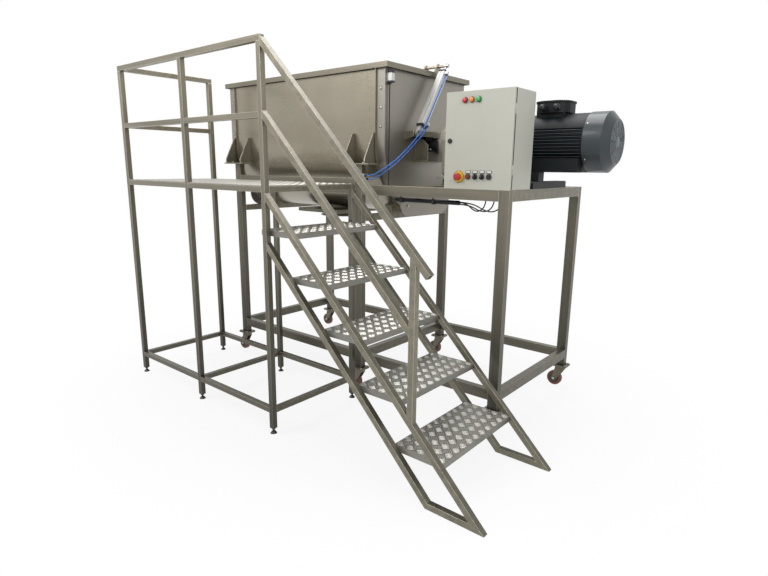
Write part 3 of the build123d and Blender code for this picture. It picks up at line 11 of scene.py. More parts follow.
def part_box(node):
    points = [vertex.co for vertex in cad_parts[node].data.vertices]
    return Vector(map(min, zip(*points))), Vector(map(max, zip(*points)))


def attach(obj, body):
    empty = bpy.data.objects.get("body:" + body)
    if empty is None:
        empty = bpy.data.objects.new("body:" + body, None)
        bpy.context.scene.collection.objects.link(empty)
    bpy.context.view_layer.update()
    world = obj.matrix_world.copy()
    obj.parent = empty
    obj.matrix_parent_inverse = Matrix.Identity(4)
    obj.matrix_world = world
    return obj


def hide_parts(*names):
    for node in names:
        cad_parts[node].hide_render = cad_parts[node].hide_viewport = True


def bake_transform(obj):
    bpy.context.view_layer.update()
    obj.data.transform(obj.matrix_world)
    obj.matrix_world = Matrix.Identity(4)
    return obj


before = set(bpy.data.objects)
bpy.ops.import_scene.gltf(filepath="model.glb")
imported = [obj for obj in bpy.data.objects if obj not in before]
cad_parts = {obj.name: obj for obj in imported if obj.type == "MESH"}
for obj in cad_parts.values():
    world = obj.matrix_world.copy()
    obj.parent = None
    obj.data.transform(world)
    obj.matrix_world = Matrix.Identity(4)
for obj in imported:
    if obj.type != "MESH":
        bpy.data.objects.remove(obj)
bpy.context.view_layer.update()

bl_info = {
    "name": "Ribbon Blender",
    "version": (1, 0, 0),
    "blender": (4, 5, 0),
    "location": "View3D > Sidebar > Ribbon Blender",
    "description": "Finishes, cords and trim of a ribbon blender with its step platform",
    "category": "Object",
}

MM = 0.001
HALF_TUBE = 15 * MM
FIRST_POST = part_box("platform_posts")[0] + Vector((HALF_TUBE, HALF_TUBE, 0))
X, Y, Z = Vector((1, 0, 0)), Vector((0, 1, 0)), Vector((0, 0, 1))


def spot(x, y, z):
    """A place given in millimetres from the platform's front left post."""
    return Vector((FIRST_POST.x + x * MM, FIRST_POST.y + y * MM, z * MM))


# Places that several pieces share, in millimetres from the first post
AXIS_Y, AXIS_Z = 1275, 1621
TROUGH_END = 1550
GEARBOX_X = 1903
LEG_X = (138, 1386, 2400)
LEG_Y = (795, 1755)
LIFT_X = 1631
LIFT_PIVOT = spot(LIFT_X, 1069, 1690)
LIFT_PIN = spot(LIFT_X, 1358, 2126)
LIFT_ALONG = (LIFT_PIN - LIFT_PIVOT).normalized()
LIFT_ACROSS = LIFT_ALONG.cross(X)
VALVE_PORTS = ((784, 1426), (798, 1404))
SWITCH_Y = 866

# The cabinet's lower front left corner, and what sits on its door in millimetres from there
CABINET_LEFT, CABINET_FACE, CABINET_BASE = 2030, 775, 1370
LAMP_X, LAMP_RISE = (116, 157, 198), 455
BUTTON_X, BUTTON_RISE = (152, 194, 236, 278), 64
STOP_X, STOP_RISE = 97, 63

# Where the lift cylinder's ports lie: beside the barrel, across it and along it
PORT_OUT = 41
FRONT_PORT, REAR_PORT = (-10, 442), (10, 60)

# How the grain of a ground surface runs: a small number draws it out along that axis
EVEN, UPRIGHT, LENGTHWISE, ROLLED = (1, 1, 1), (1, 1, 0.05), (0.05, 1, 1), (0.03, 1, 1)


def on_barrel(across, side, along):
    """A place given in millimetres from the lift cylinder's rear pivot."""
    return LIFT_PIVOT + (X * across + LIFT_ACROSS * side + LIFT_ALONG * along) * MM


# Modelling helpers


def start_clean():
    """Leaves edit mode with nothing selected."""
    if bpy.context.mode != "OBJECT":
        bpy.ops.object.mode_set(mode="OBJECT")
    bpy.ops.object.select_all(action="DESELECT")


def choose(*pieces):
    """Selects these pieces alone and makes the first one active."""
    start_clean()
    for piece in pieces:
        piece.select_set(True)
    bpy.context.view_layer.objects.active = pieces[0]


def settle():
    """Puts the place, turn and size of the selected pieces into their meshes."""
    bpy.ops.object.transform_apply(location=True, rotation=True, scale=True)


def edit_all():
    """Enters edit mode with the whole piece selected."""
    bpy.ops.object.mode_set(mode="EDIT")
    bpy.ops.mesh.select_all(action="SELECT")


def tidy_mesh(piece):
    """Merges doubles and turns the faces outwards, then leaves edit mode."""
    bpy.ops.mesh.select_mode(type="VERT")
    bpy.ops.mesh.select_all(action="SELECT")
    bpy.ops.mesh.remove_doubles(threshold=1e-6)
    bpy.ops.mesh.normals_make_consistent(inside=False)
    bpy.ops.object.mode_set(mode="OBJECT")
    return piece


def turned(profile, steps=32):
    """A piece turned about z from (radius, height) points in millimetres."""
    start_clean()
    bpy.ops.mesh.primitive_plane_add(size=1)
    piece = bpy.context.object
    edit_all()
    bpy.ops.mesh.merge(type="CENTER")
    points = [Vector((radius, 0, height)) * MM for radius, height in profile]
    bpy.ops.transform.translate(value=points[0])
    for before, after in zip(points, points[1:]):
        bpy.ops.mesh.extrude_vertices_move(TRANSFORM_OT_translate={"value": after - before})
    bpy.ops.mesh.select_all(action="SELECT")
    bpy.ops.mesh.spin(steps=steps, angle=2 * pi, center=(0, 0, 0), axis=(0, 0, 1))
    return tidy_mesh(piece)


def slab(size, edge, segments=2):
    """A block of these sizes in millimetres, standing on z 0, with broken edges."""
    start_clean()
    width, depth, height = (length * MM for length in size)
    bpy.ops.mesh.primitive_cube_add(size=1, location=(0, 0, height / 2))
    piece = bpy.context.object
    piece.scale = (width, depth, height)
    settle()
    edit_all()
    bpy.ops.mesh.bevel(offset=edge * MM, segments=segments, affect="EDGES")
    return tidy_mesh(piece)


def hex_prism(radius, height, edge):
    """A six sided head standing on z 0, its top edges broken."""
    start_clean()
    bpy.ops.mesh.primitive_cylinder_add(
        vertices=6, radius=radius * MM, depth=height * MM, location=(0, 0, height / 2 * MM)
    )
    piece = bpy.context.object
    settle()
    edit_all()
    bpy.ops.mesh.select_mode(type="FACE")
    bpy.ops.mesh.select_all(action="DESELECT")
    mesh = bmesh.from_edit_mesh(piece.data)
    for face in mesh.faces:
        if face.normal.z > 0.9:
            face.select_set(True)
    mesh.select_flush_mode()
    bmesh.update_edit_mesh(piece.data)
    bpy.ops.mesh.bevel(offset=edge * MM, segments=1, affect="EDGES")
    return tidy_mesh(piece)


def joined(pieces):
    """Joins pieces into the first one and puts its place in its mesh."""
    choose(*pieces)
    if len(pieces) > 1:
        bpy.ops.object.join()
    settle()
    return pieces[0]


def aim(point, direction, spin=0.0):
    """The placing that stands a piece at a point with its z along a direction."""
    turn = Vector(direction).to_track_quat("Z", "Y").to_matrix().to_4x4()
    return Matrix.Translation(point) @ turn @ Matrix.Rotation(spin, 4, "Z")


def copies(master, places):
    """Copies a piece, each with its own mesh, to every placing and joins them."""
    made = []
    for place in places:
        twin = master.copy()
        twin.data = master.data.copy()
        bpy.context.collection.objects.link(twin)
        twin.matrix_world = place
        made.append(twin)
    bpy.data.objects.remove(master)
    return joined(made)


def dress(piece, name, finish, body, angle=35):
    """Names a finished piece, gives it a finish unless it has its own and hangs it on its body."""
    piece.name = name
    piece.data.name = name
    if finish:
        piece.data.materials.clear()
        piece.data.materials.append(finish_of(finish))
    choose(piece)
    settle()
    bpy.ops.object.shade_smooth_by_angle(angle=radians(angle))
    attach(piece, body)


def fasten(name, head, places):
    """Puts the head of a fastener in all its places on the machine."""
    dress(copies(head, places), name, "bolt", "machine")


def four(x, y):
    """The four corners that lie so far to either side of a middle."""
    return [(across, along) for across in (-x, x) for along in (-y, y)]


def coat(names, finish, edge=0.0, flat=False):
    """Gives solids their finish, with edges broken by so many millimetres, creased or left flat."""
    sharp = radians(32)
    for name in names:
        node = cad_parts[name]
        node.data.materials.clear()
        node.data.materials.append(finish_of(finish))
        node.data.polygons.foreach_set("use_smooth", [not flat] * len(node.data.polygons))
        if flat:
            continue
        weld = node.modifiers.new("Weld", "WELD")
        weld.merge_threshold = 1e-5
        if edge:
            bevel = node.modifiers.new("Bevel", "BEVEL")
            bevel.width = edge * MM
            bevel.segments = 2
            bevel.limit_method = "ANGLE"
            bevel.angle_limit = sharp
            bevel.use_clamp_overlap = False
            normal = node.modifiers.new("Normal", "WEIGHTED_NORMAL")
            normal.keep_sharp = True
        else:
            crease = node.modifiers.new("Crease", "EDGE_SPLIT")
            crease.split_angle = sharp


# Finishes


class Value:
    """A shader value that can stand in a sum."""

    def __init__(self, finish, socket):
        self.finish = finish
        self.socket = socket

    def _math(self, operation, other):
        return self.finish.node("Math", {0: self, 1: other}, operation=operation)

    def __add__(self, other):
        return self._math("ADD", other)

    __radd__ = __add__

    def __sub__(self, other):
        return self._math("SUBTRACT", other)

    def __mul__(self, other):
        return self._math("MULTIPLY", other)


class Finish:
    """A material built node by node."""

    def __init__(self, name, tree=None):
        if tree is None:
            self.material = bpy.data.materials.new(name)
            self.material.use_nodes = True
            tree = self.material.node_tree
        self.tree = tree
        self.shader = tree.nodes.get("Principled BSDF")

    def node(self, kind, sockets=None, out=0, **settings):
        """A new shader node with its inputs and settings, as the value of one output."""
        made = self.tree.nodes.new("ShaderNode" + kind)
        for key, value in settings.items():
            setattr(made, key, value)
        for key, value in (sockets or {}).items():
            self.feed(made.inputs[key], value)
        return Value(self, made.outputs[out])

    def feed(self, socket, value):
        if isinstance(value, Value):
            self.tree.links.new(value.socket, socket)
        else:
            socket.default_value = value

    def set(self, **sockets):
        for key, value in sockets.items():
            self.feed(self.shader.inputs[key.replace("_", " ")], value)

    def place(self, scale=EVEN):
        here = self.node("TexCoord", out="Object")
        return self.node("Mapping", {"Vector": here, "Scale": scale})

    def facing(self):
        return self.node("NewGeometry", out="True Normal")

    def upward(self, vector):
        return self.node("SeparateXYZ", {0: vector}, "Z")

    def noise(self, scale, detail=3.0, stretch=EVEN):
        sockets = {"Vector": self.place(stretch), "Scale": scale, "Detail": detail}
        return self.node("TexNoise", sockets)

    def ramp(self, value, start, end, first, last, course="LINEAR"):
        """Goes from first to last while a value goes from start to end."""
        names = ("Value", "From Min", "From Max", "To Min", "To Max")
        limits = dict(zip(names, (value, start, end, first, last)))
        return self.node("MapRange", limits, interpolation_type=course)

    def blend(self, factor, first, second, kind="MIX"):
        sockets = {0: factor, 6: first, 7: second}
        return self.node("Mix", sockets, 2, data_type="RGBA", blend_type=kind)

    def bump(self, height, strength, distance, over=None):
        """Relief from a height, over rounded corners where they are given."""
        sockets = {"Height": height, "Strength": strength, "Distance": distance}
        if over:
            sockets["Normal"] = over
        return self.node("Bump", sockets)

    def corners(self, radius):
        """A normal that rounds the corners, and how near to a corner a point is."""
        rounded = self.node("Bevel", {"Radius": radius * MM}, samples=6)
        both = {0: rounded, 1: self.facing()}
        along = self.node("VectorMath", both, "Value", operation="DOT_PRODUCT")
        return rounded, self.ramp(along, 0.99, 0.85, 0.0, 1.0)


def shade(colour, share):
    """A colour made lighter or darker, with full alpha."""
    return tuple(channel * share for channel in colour[:3]) + (1.0,)


def brushed(
    name, colour, roughness, stretch=EVEN, metal=0.85, cloud=0.12, low_shade=0.0, corner=0.0, worn=0.0
):
    """Ground sheet: fine grain one way and soft cloudy patches.

    Tubes also have long streaks of painted reflection, painted highlights on their corners, painted
    shade that darkens them towards the floor and painted shade on their top faces.
    """
    finish = Finish(name)
    grain = finish.noise(900.0, 2.0, stretch)
    patches = finish.noise(3.2, 4.0)
    tone = finish.blend(patches, shade(colour, 1 - cloud * 2), shade(colour, 1 + cloud * 2))
    fine = finish.blend(grain, shade(colour, 0.94), shade(colour, 1.06))
    both = finish.blend(0.35, tone, fine)
    rounded = None
    if corner:
        rounded, near = finish.corners(corner)
        # Painted reflections: long streaks along the grain, far darker and lighter than the steel
        streaks = finish.noise(30.0, 3.0, stretch)
        painted_reflections = finish.blend(streaks, shade(colour, 0.3), shade(colour, 1.3))
        # Painted highlight: near the rounded corners the colour goes much lighter
        both = finish.blend(near * 0.9, finish.blend(0.7, both, painted_reflections), shade(colour, 2.9))
    if low_shade:
        # Painted shade: the colour darkens towards the floor, up to 1.9 m high
        shade_factor = finish.ramp(finish.upward(finish.place()), 0.0, 1.9, 1 - low_shade, 1.0)
        if worn:
            # Painted shade: faces that look upwards are darkened against the light from above
            shade_factor = shade_factor * finish.ramp(finish.upward(finish.facing()), 0.3, 0.6, 1.0, 1 - worn)
        both = finish.blend(1.0, both, shade_factor, "MULTIPLY")
    finish.set(
        Base_Color=both,
        Metallic=metal,
        Roughness=roughness + (grain - 0.5) * 0.16 + (patches - 0.5) * 0.12,
        Normal=finish.bump(grain, 0.12, 0.0002, rounded),
    )
    return finish.material


def painted(name, colour, roughness, coat=0.0, peel=0.08, shine=0.5):
    """Paint with a slight orange peel."""
    finish = Finish(name)
    peeling = finish.noise(420.0, 2.0)
    patches = finish.noise(5.0, 3.0)
    finish.set(
        Base_Color=finish.blend(patches, shade(colour, 0.95), shade(colour, 1.05)),
        Roughness=roughness + (patches - 0.5) * 0.1,
        Specular_IOR_Level=shine,
        Coat_Weight=coat,
        Normal=finish.bump(peeling, peel, 0.0003),
    )
    return finish.material


def moulded(name, colour, roughness, coat=0.0, grit=0.05):
    """Plastic or rubber with a fine grain."""
    finish = Finish(name)
    grain = finish.noise(1500.0, 2.0)
    finish.set(
        Base_Color=shade(colour, 1.0),
        Roughness=roughness + (grain - 0.5) * 0.12,
        Coat_Weight=coat,
        Normal=finish.bump(grain, grit, 0.0002),
    )
    return finish.material


def lens(name, colour):
    """Clear coloured plastic over a lamp, lit a little from inside."""
    finish = Finish(name)
    ribs = finish.noise(260.0, 1.0)
    finish.set(
        Base_Color=finish.blend(ribs, shade(colour, 0.8), shade(colour, 1.1)),
        Roughness=0.16,
        Coat_Weight=0.5,
        Emission_Color=shade(colour, 1.0),
        Emission_Strength=0.12,
    )
    return finish.material


def finish_table():
    """What each finish is made by, and the values it is made from."""
    steel = bpy.context.scene.blender_steel
    paint = bpy.context.scene.blender_paint
    cord = bpy.context.scene.blender_cords
    tube, dull, bar = steel.tube_colour, steel.roughness, steel.bar_colour
    return {
        # After the grain come the metal share, the cloudy tone, the painted shade towards the
        # floor, the corner radius with its painted highlight, and for the stair the painted shade
        # on top faces
        "tube": (brushed, "satin_tube", tube, dull, UPRIGHT, 0.55, 0.16, 0.78, 3.5),
        "rail": (brushed, "satin_rail", tube, dull, LENGTHWISE, 0.55, 0.16, 0.6, 3.5),
        "stair": (brushed, "satin_stair", tube, dull, EVEN, 0.55, 0.16, 0.2, 3.5, 0.38),
        "trough": (brushed, "trough_sheet", steel.sheet_colour, 0.3, ROLLED),
        # Painted shade: the lid is the trough's sheet made darker
        "lid": (brushed, "lid_sheet", shade(steel.sheet_colour, 0.72), 0.34, ROLLED),
        "wall": (brushed, "end_wall_sheet", steel.wall_colour, dull + 0.05, UPRIGHT),
        "tread": (brushed, "tread_plate", steel.tread_colour, 0.4, EVEN, 0.7, 0.2),
        "tread_bar": (brushed, "tread_bar", bar, 0.34, EVEN, 0.7, 0.1),
        # Painted shade: a darker copy of the bar finish for the bars that run the other way
        "tread_bar_across": (brushed, "tread_bar_across", shade(bar, 0.75), 0.45, EVEN, 0.7, 0.1),
        "bright": (brushed, "bright_steel", (0.5, 0.49, 0.46), 0.24, EVEN, 0.95, 0.06),
        "bolt": (brushed, "bolt_steel", (0.42, 0.41, 0.38), 0.3, EVEN, 0.9, 0.06),
        # Painted shade: the yellow zinc is made dark, as the casters and plates lie in shade under
        # the frame
        "zinc": (brushed, "yellow_zinc", (0.15, 0.134, 0.102), 0.4, EVEN, 0.75, 0.2),
        "alloy": (brushed, "anodised_alloy", (0.62, 0.62, 0.6), 0.4, EVEN, 0.5, 0.05),
        "cast": (painted, "dark_casting", (0.035, 0.038, 0.04), 0.5, 0.0, 0.25),
        "gearbox": (painted, "gearbox_grey", paint.gearbox, 0.42, 0.1),
        "base": (painted, "drive_base_dark", (0.016, 0.017, 0.018), 0.5, 0.0, 0.2, 0.3),
        "motor": (painted, "motor_black_green", paint.motor, 0.5, 0.0, 0.3, 0.25),
        # Painted highlight: the ribs are three times as light as the cowl, as light along the fins'
        # edges
        "fin": (painted, "worn_fin_edges", shade(paint.cowl, 3.0), 0.45),
        "cowl": (painted, "cowl_blue_grey", paint.cowl, 0.36, 0.2, 0.08, 0.35),
        # Painted highlight: the grille is far lighter than the cowl, as light on its wires
        "grille": (painted, "worn_grille", shade(paint.cowl, 2.6), 0.4),
        "cabinet": (painted, "cabinet_grey", paint.cabinet, 0.5, 0.0, 0.14),
        "wheel": (moulded, "brown_tread", (0.15, 0.055, 0.035), 0.5),
        "black": (moulded, "black_plastic", (0.015, 0.015, 0.016), 0.38),
        "seal": (moulded, "seal_rubber", (0.03, 0.03, 0.03), 0.65),
        "gear": (moulded, "gear_plastic", (0.3, 0.31, 0.32), 0.5),
        "red": (moulded, "red_plastic", (0.45, 0.012, 0.012), 0.32, 0.3),
        "dark_red": (moulded, "dark_red_plastic", (0.22, 0.01, 0.012), 0.34, 0.2),
        "yellow": (moulded, "yellow_plastic", (0.72, 0.46, 0.03), 0.4, 0.1),
        "white": (moulded, "white_plastic", (0.78, 0.78, 0.75), 0.45),
        "hose": (moulded, "blue_hose", cord.hose_colour, 0.25, 0.4, 0.02),
        "cable": (moulded, "black_cable", (0.006, 0.006, 0.007), 0.55),
        "red_lens": (lens, "red_lens", (0.6, 0.02, 0.02)),
        "amber_lens": (lens, "amber_lens", (0.75, 0.25, 0.02)),
        "green_lens": (lens, "green_lens", (0.03, 0.42, 0.09)),
    }


@functools.cache
def finish_of(name):
    """A finish by its name, made when it is first asked for."""
    maker, *values = finish_table()[name]
    return maker(*values)


# What a user would change


def number_prop(name, description, default, **limits):
    return bpy.props.FloatProperty(name=name, description=description, default=default, **limits)


def length_prop(name, description, default):
    return number_prop(name, description, default, unit="LENGTH", min=0.0001)


def colour_prop(name, piece, default):
    text = "Colour of the " + piece
    return bpy.props.FloatVectorProperty(
        name=name, description=text, default=default, subtype="COLOR", min=0.0, max=1.0
    )


class BlenderSteel(bpy.types.PropertyGroup):
    """Finish of the stainless steel"""

    tube_colour: colour_prop("Tube", "ground tubes", (0.285, 0.262, 0.2))
    sheet_colour: colour_prop("Sheet", "trough and lid", (0.322, 0.292, 0.23))
    wall_colour: colour_prop("End wall", "trough's ends", (0.3, 0.28, 0.245))
    tread_colour: colour_prop("Tread plate", "deck and treads", (0.245, 0.237, 0.21))
    bar_colour: colour_prop("Tread bars", "worn raised bars", (0.53, 0.515, 0.475))
    roughness: number_prop("Roughness", "How dull the ground steel is", 0.36, min=0.1, max=0.9)


class BlenderPaint(bpy.types.PropertyGroup):
    """Colours of the painted pieces"""

    cabinet: colour_prop("Cabinet", "control cabinet", (0.545, 0.545, 0.475))
    motor: colour_prop("Motor", "motor's body", (0.006, 0.009, 0.01))
    cowl: colour_prop("Cowl", "fan cowl", (0.034, 0.044, 0.048))
    gearbox: colour_prop("Gearbox", "gearbox", (0.314, 0.291, 0.238))


class BlenderCords(bpy.types.PropertyGroup):
    """Hoses and cables"""

    hose_diameter: length_prop("Hose", "Outside diameter of the air hoses", 8 * MM)
    cable_diameter: length_prop("Cable", "Outside diameter of the cables", 7 * MM)
    hose_colour: colour_prop("Hose colour", "air hoses", (0.02, 0.16, 0.62))


class BlenderTread(bpy.types.PropertyGroup):
    """Raised bars of the tread plate"""

    square: length_prop("Square", "Side of one group of five bars", 41 * MM)
    bar_length: length_prop("Bar length", "Length of one raised bar", 38 * MM)
    bar_width: length_prop("Bar width", "Width of one raised bar", 5.2 * MM)
    bar_height: length_prop("Bar height", "Rise of one raised bar", 1.4 * MM)


class BlenderStage(bpy.types.PropertyGroup):
    """Floor and light"""

    floor: colour_prop("Floor", "floor", (0.86, 0.86, 0.86))
    key: number_prop("Key lamp", "Power of the large lamp", 170.0, subtype="POWER")
    fill: number_prop("Fill lamp", "Power of the side lamp", 60.0, subtype="POWER")
    top: number_prop("Top lamp", "Power of the lamp overhead", 150.0, subtype="POWER")
    ambient: number_prop("Ambient", "Level of the even light from all sides", 0.32, min=0.0)


# Stage


class BLENDER_OT_stage(bpy.types.Operator):
    """Floor, lamps, background and the camera of the picture"""

    bl_idname = "ribbon_blender.stage"
    bl_label = "Stage"

    white = (1, 1, 1, 1)

    # The picture's camera: yaw, pitch and roll in degrees, place and lens in millimetres
    camera_angles = (39.64, 12.53, 0.64)
    camera_place = (3728, -1783.5, 1476.8)
    camera_lens, camera_sensor = 25.42, 36

    def execute(self, context):
        stage = context.scene.blender_stage
        context.scene.view_settings.view_transform = "Standard"
        self.floor(stage)
        self.background(context.scene, stage)
        self.lamp("key_lamp", spot(-900, -3300, 4600), spot(1200, 700, 1000), 3.4, stage.key)
        self.lamp("fill_lamp", spot(5200, -900, 3400), spot(1600, 700, 1000), 2.6, stage.fill)
        self.lamp("top_lamp", spot(1300, 1600, 5200), spot(1300, 800, 1200), 3.6, stage.top)
        self.camera(context.scene)
        return {"FINISHED"}

    def floor(self, stage):
        """A floor that goes over into the white background away from the machine."""
        start_clean()
        bpy.ops.mesh.primitive_plane_add(size=60)
        plane = bpy.context.object
        plane.name = "floor"
        finish = Finish("pale_floor")
        finish.set(Base_Color=shade(stage.floor, 1.0), Roughness=0.9)
        here = finish.node("TexCoord", out="Object")
        away = finish.node("VectorMath", {0: here}, "Value", operation="LENGTH")
        far = finish.ramp(away, 0.9, 2.6, 0.87, 1.0, "SMOOTHSTEP")
        glow = finish.node("Emission", {"Color": self.white, "Strength": 1.0})
        matt = Value(finish, finish.shader.outputs[0])
        share = far * self.seen(finish)
        both = finish.node("MixShader", {0: share, 1: matt, 2: glow})
        finish.feed(finish.tree.nodes["Material Output"].inputs["Surface"], both)
        plane.data.materials.append(finish.material)

    def seen(self, finish):
        """One where the camera, a reflection or a clear lens looks, so that all see white."""
        camera = finish.node("LightPath", out="Is Camera Ray")
        glossy = finish.node("LightPath", out="Is Glossy Ray")
        return camera + glossy + finish.node("LightPath", out="Is Transmission Ray")

    def background(self, scene, stage):
        world = bpy.data.worlds.new("studio")
        world.use_nodes = True
        scene.world = world
        world.node_tree.nodes.clear()
        sky = Finish("studio", world.node_tree)
        even, bright = (
            sky.node("Background", {"Color": self.white, "Strength": strength})
            for strength in (stage.ambient, 1.0)
        )
        both = sky.node("MixShader", {0: self.seen(sky), 1: even, 2: bright})
        output = sky.tree.nodes.new("ShaderNodeOutputWorld")
        sky.feed(output.inputs["Surface"], both)

    def lamp(self, name, place, target, size, power):
        bpy.ops.object.light_add(type="AREA", location=place)
        lamp = bpy.context.object
        lamp.name = name
        lamp.data.shape = "DISK"
        lamp.data.size = size
        lamp.data.energy = power
        lamp.rotation_euler = (target - place).to_track_quat("-Z", "Y").to_euler()

    def camera(self, scene):
        yaw, pitch, roll = (radians(angle) for angle in self.camera_angles)
        forward = cos(pitch)
        ahead = Vector((-sin(yaw) * forward, cos(yaw) * forward, -sin(pitch)))
        level = ahead.cross(Z).normalized()
        rise = level.cross(ahead)
        right = level * cos(roll) + rise * sin(roll)
        up = rise * cos(roll) - level * sin(roll)
        bpy.ops.object.camera_add()
        camera = bpy.context.object
        camera.name = "picture_camera"
        turn = Matrix((right, up, -ahead)).transposed().to_4x4()
        camera.matrix_world = Matrix.Translation(spot(*self.camera_place)) @ turn
        camera.data.lens = self.camera_lens
        camera.data.sensor_width = self.camera_sensor
        scene.camera = camera


# Cords


def tube_along(name, points, diameter):
    """A round cord on one smooth curve, with its middle line and its length."""
    curve = bpy.data.curves.new(name, "CURVE")
    curve.dimensions = "3D"
    spline = curve.splines.new("NURBS")
    spline.points.add(len(points) - 1)
    for place, point in zip(spline.points, points):
        place.co = (*point, 1.0)
    spline.order_u = 3
    spline.use_endpoint_u = True
    curve.resolution_u = 10
    line = bpy.data.objects.new(name, curve)
    bpy.context.collection.objects.link(line)
    depsgraph = bpy.context.evaluated_depsgraph_get()
    bare = bpy.data.meshes.new_from_object(line.evaluated_get(depsgraph))
    path = [vertex.co.copy() for vertex in bare.vertices]
    bpy.data.meshes.remove(bare)
    curve.bevel_depth = diameter / 2
    curve.bevel_resolution = 4
    curve.use_fill_caps = True
    choose(line)
    bpy.ops.object.convert(target="MESH")
    piece = bpy.context.object
    piece.name = name
    edit_all()
    tidy_mesh(piece)
    bpy.ops.object.shade_smooth_by_angle(angle=radians(50))
    length = sum((after - before).length for before, after in zip(path, path[1:]))
    return piece, path, length


class BLENDER_OT_hoses(bpy.types.Operator):
    """The two air hoses from the lift cylinder to the valve on the leg"""

    bl_idname = "ribbon_blender.hoses"
    bl_label = "Air hoses"

    # Down the barrel: how far to the side, and the heights. Then the free arc to the valve
    beside = {"air_hose_front": (-10, (442, 145, 40)), "air_hose_rear": (10, (60, 12))}
    arcs = {
        "air_hose_front": (
            (1662, 1008, 1656), (1640, 945, 1590), (1604, 888, 1527), (1570, 828, 1478),
            (1530, 804, 1449), (1488, 784, 1426), (1446, 784, 1426),
        ),
        "air_hose_rear": (
            (1662, 1012, 1636), (1640, 950, 1572), (1604, 895, 1509), (1568, 838, 1458),
            (1530, 816, 1428), (1488, 798, 1404), (1446, 798, 1404),
        ),
    }

    def execute(self, context):
        sizes = context.scene.blender_cords
        for name, arc in self.arcs.items():
            side, heights = self.beside[name]
            points = [on_barrel(PORT_OUT, side, height) for height in heights]
            points += [spot(*point) for point in arc]
            piece, path, length = tube_along(name + "_tube", points, sizes.hose_diameter)
            piece.data.materials.append(finish_of("hose"))
            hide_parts(name)
            start, end = spot(1570, 828, 1478), on_barrel(PORT_OUT, side, 40)
            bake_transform(piece)
        return {"FINISHED"}


class BLENDER_OT_cables(bpy.types.Operator):
    """The limit switch's cable, the bundle below the rail and the loops to the cabinet"""

    bl_idname = "ribbon_blender.cables"
    bl_label = "Cables"

    bundle_y, bundle_z = 835, 1288
    bundle_start, bundle_length = 1645, 455
    gland_x, gland_y, gland_z, gland_pitch = 2260, 844, 1335, 45

    def execute(self, context):
        diameter = context.scene.blender_cords.cable_diameter
        routes = {
            "switch_cable": (
                (1560, SWITCH_Y, 1972), (1560, SWITCH_Y, 1420), (1560, SWITCH_Y, 1348),
                (1573, 855, 1306), (1608, self.bundle_y, self.bundle_z),
                (self.bundle_start, self.bundle_y, self.bundle_z),
            )
        }
        glands = []
        for number, drop in enumerate((3, -8, 3)):
            shift = self.gland_pitch * number
            y = self.bundle_y - 7 + 7 * number
            gland = (self.gland_x + shift, self.gland_y + 10 * number, self.gland_z)
            glands.append(gland)
            routes[f"cabinet_cable_{number + 1}"] = (
                (self.bundle_start + self.bundle_length, y, self.bundle_z + drop),
                (2145 + 0.35 * shift, y, self.bundle_z + drop),
                (2195 + 0.7 * shift, gland[1] - 6, 1246),
                (gland[0] - 25 - 0.1 * shift, gland[1] - 2, 1252),
                (gland[0], gland[1], 1292),
                gland,
            )
        for name, route in routes.items():
            points = [spot(*point) for point in route]
            piece, path, length = tube_along(name, points, diameter)
            piece.data.materials.append(finish_of("cable"))
            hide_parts("cables")
            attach(piece, "machine")
        self.bundle()
        self.clips()
        self.glands(glands)
        return {"FINISHED"}

    def bundle(self):
        """A corrugated sleeve round the cables."""
        end, pitch = self.bundle_length, 11.82
        profile = [(0, 0), (10.5, 0), (12, 1.5)]
        for turn in range(38):
            base = 3 + turn * pitch
            profile += [(12.2, base), (13, base + 2.5), (13, base + 8), (12.2, base + 10.5)]
        profile += [(12, end - 1.5), (10.5, end), (0, end)]
        sleeve = turned(profile, 24)
        sleeve.matrix_world = aim(spot(self.bundle_start, self.bundle_y, self.bundle_z), X)
        dress(sleeve, "cable_sleeve", "cable", "machine")

    def clips(self):
        made = []
        below = self.bundle_z - 16
        for x in (1700, 1930):
            foot = slab((14, 33, 3), 0.6)
            foot.location = spot(x, 831.5, below)
            back = slab((14, 3, 68), 0.6)
            back.location = spot(x, 816.5, below)
            strap = turned([(13.1, -3), (14.3, -3), (14.3, 3), (13.1, 3), (13.1, -3)], 28)
            strap.matrix_world = aim(spot(x, self.bundle_y, self.bundle_z), X)
            made += [foot, back, strap]
        dress(joined(made), "bundle_clips", "cast", "machine")

    def glands(self, places):
        nut = hex_prism(13, 9, 1)
        dome = turned([(0, 0), (9.5, 0), (11.5, 3), (11.8, 14), (11.8, 15), (0, 15)], 24)
        neck = turned([(0, 0), (10, 0), (10, 14), (0, 14)], 20)
        nut.location = (0, 0, 14 * MM)
        neck.location = (0, 0, 21 * MM)
        master = joined([nut, dome, neck])
        gland = copies(master, [Matrix.Translation(spot(*place)) for place in places])
        dress(gland, "cabinet_glands", "black", "machine")


# Steelwork


class BLENDER_OT_steelwork(bpy.types.Operator):
    """Finishes of the welded platform, stairs and frame"""

    bl_idname = "ribbon_blender.steelwork"
    bl_label = "Steelwork"

    def execute(self, context):
        coat(["platform_posts", "frame_legs"], "tube", flat=True)
        coat(["platform_rails", "frame_rails"], "rail", flat=True)
        coat(["stair_frame"], "stair", flat=True)
        coat(["levelling_feet"], "black", 0.6)
        coat(["caster_plates"], "zinc", 0.6)
        self.rail_plug()
        return {"FINISHED"}

    def rail_plug(self):
        """Closes the open end of the front guard rail, above the handrail."""
        plug = slab((25.8, 25.8, 3), 0.4)
        plug.matrix_world = aim(spot(1461.8, 0, 2085), X)
        dress(plug, "rail_plug", "stair", "machine")


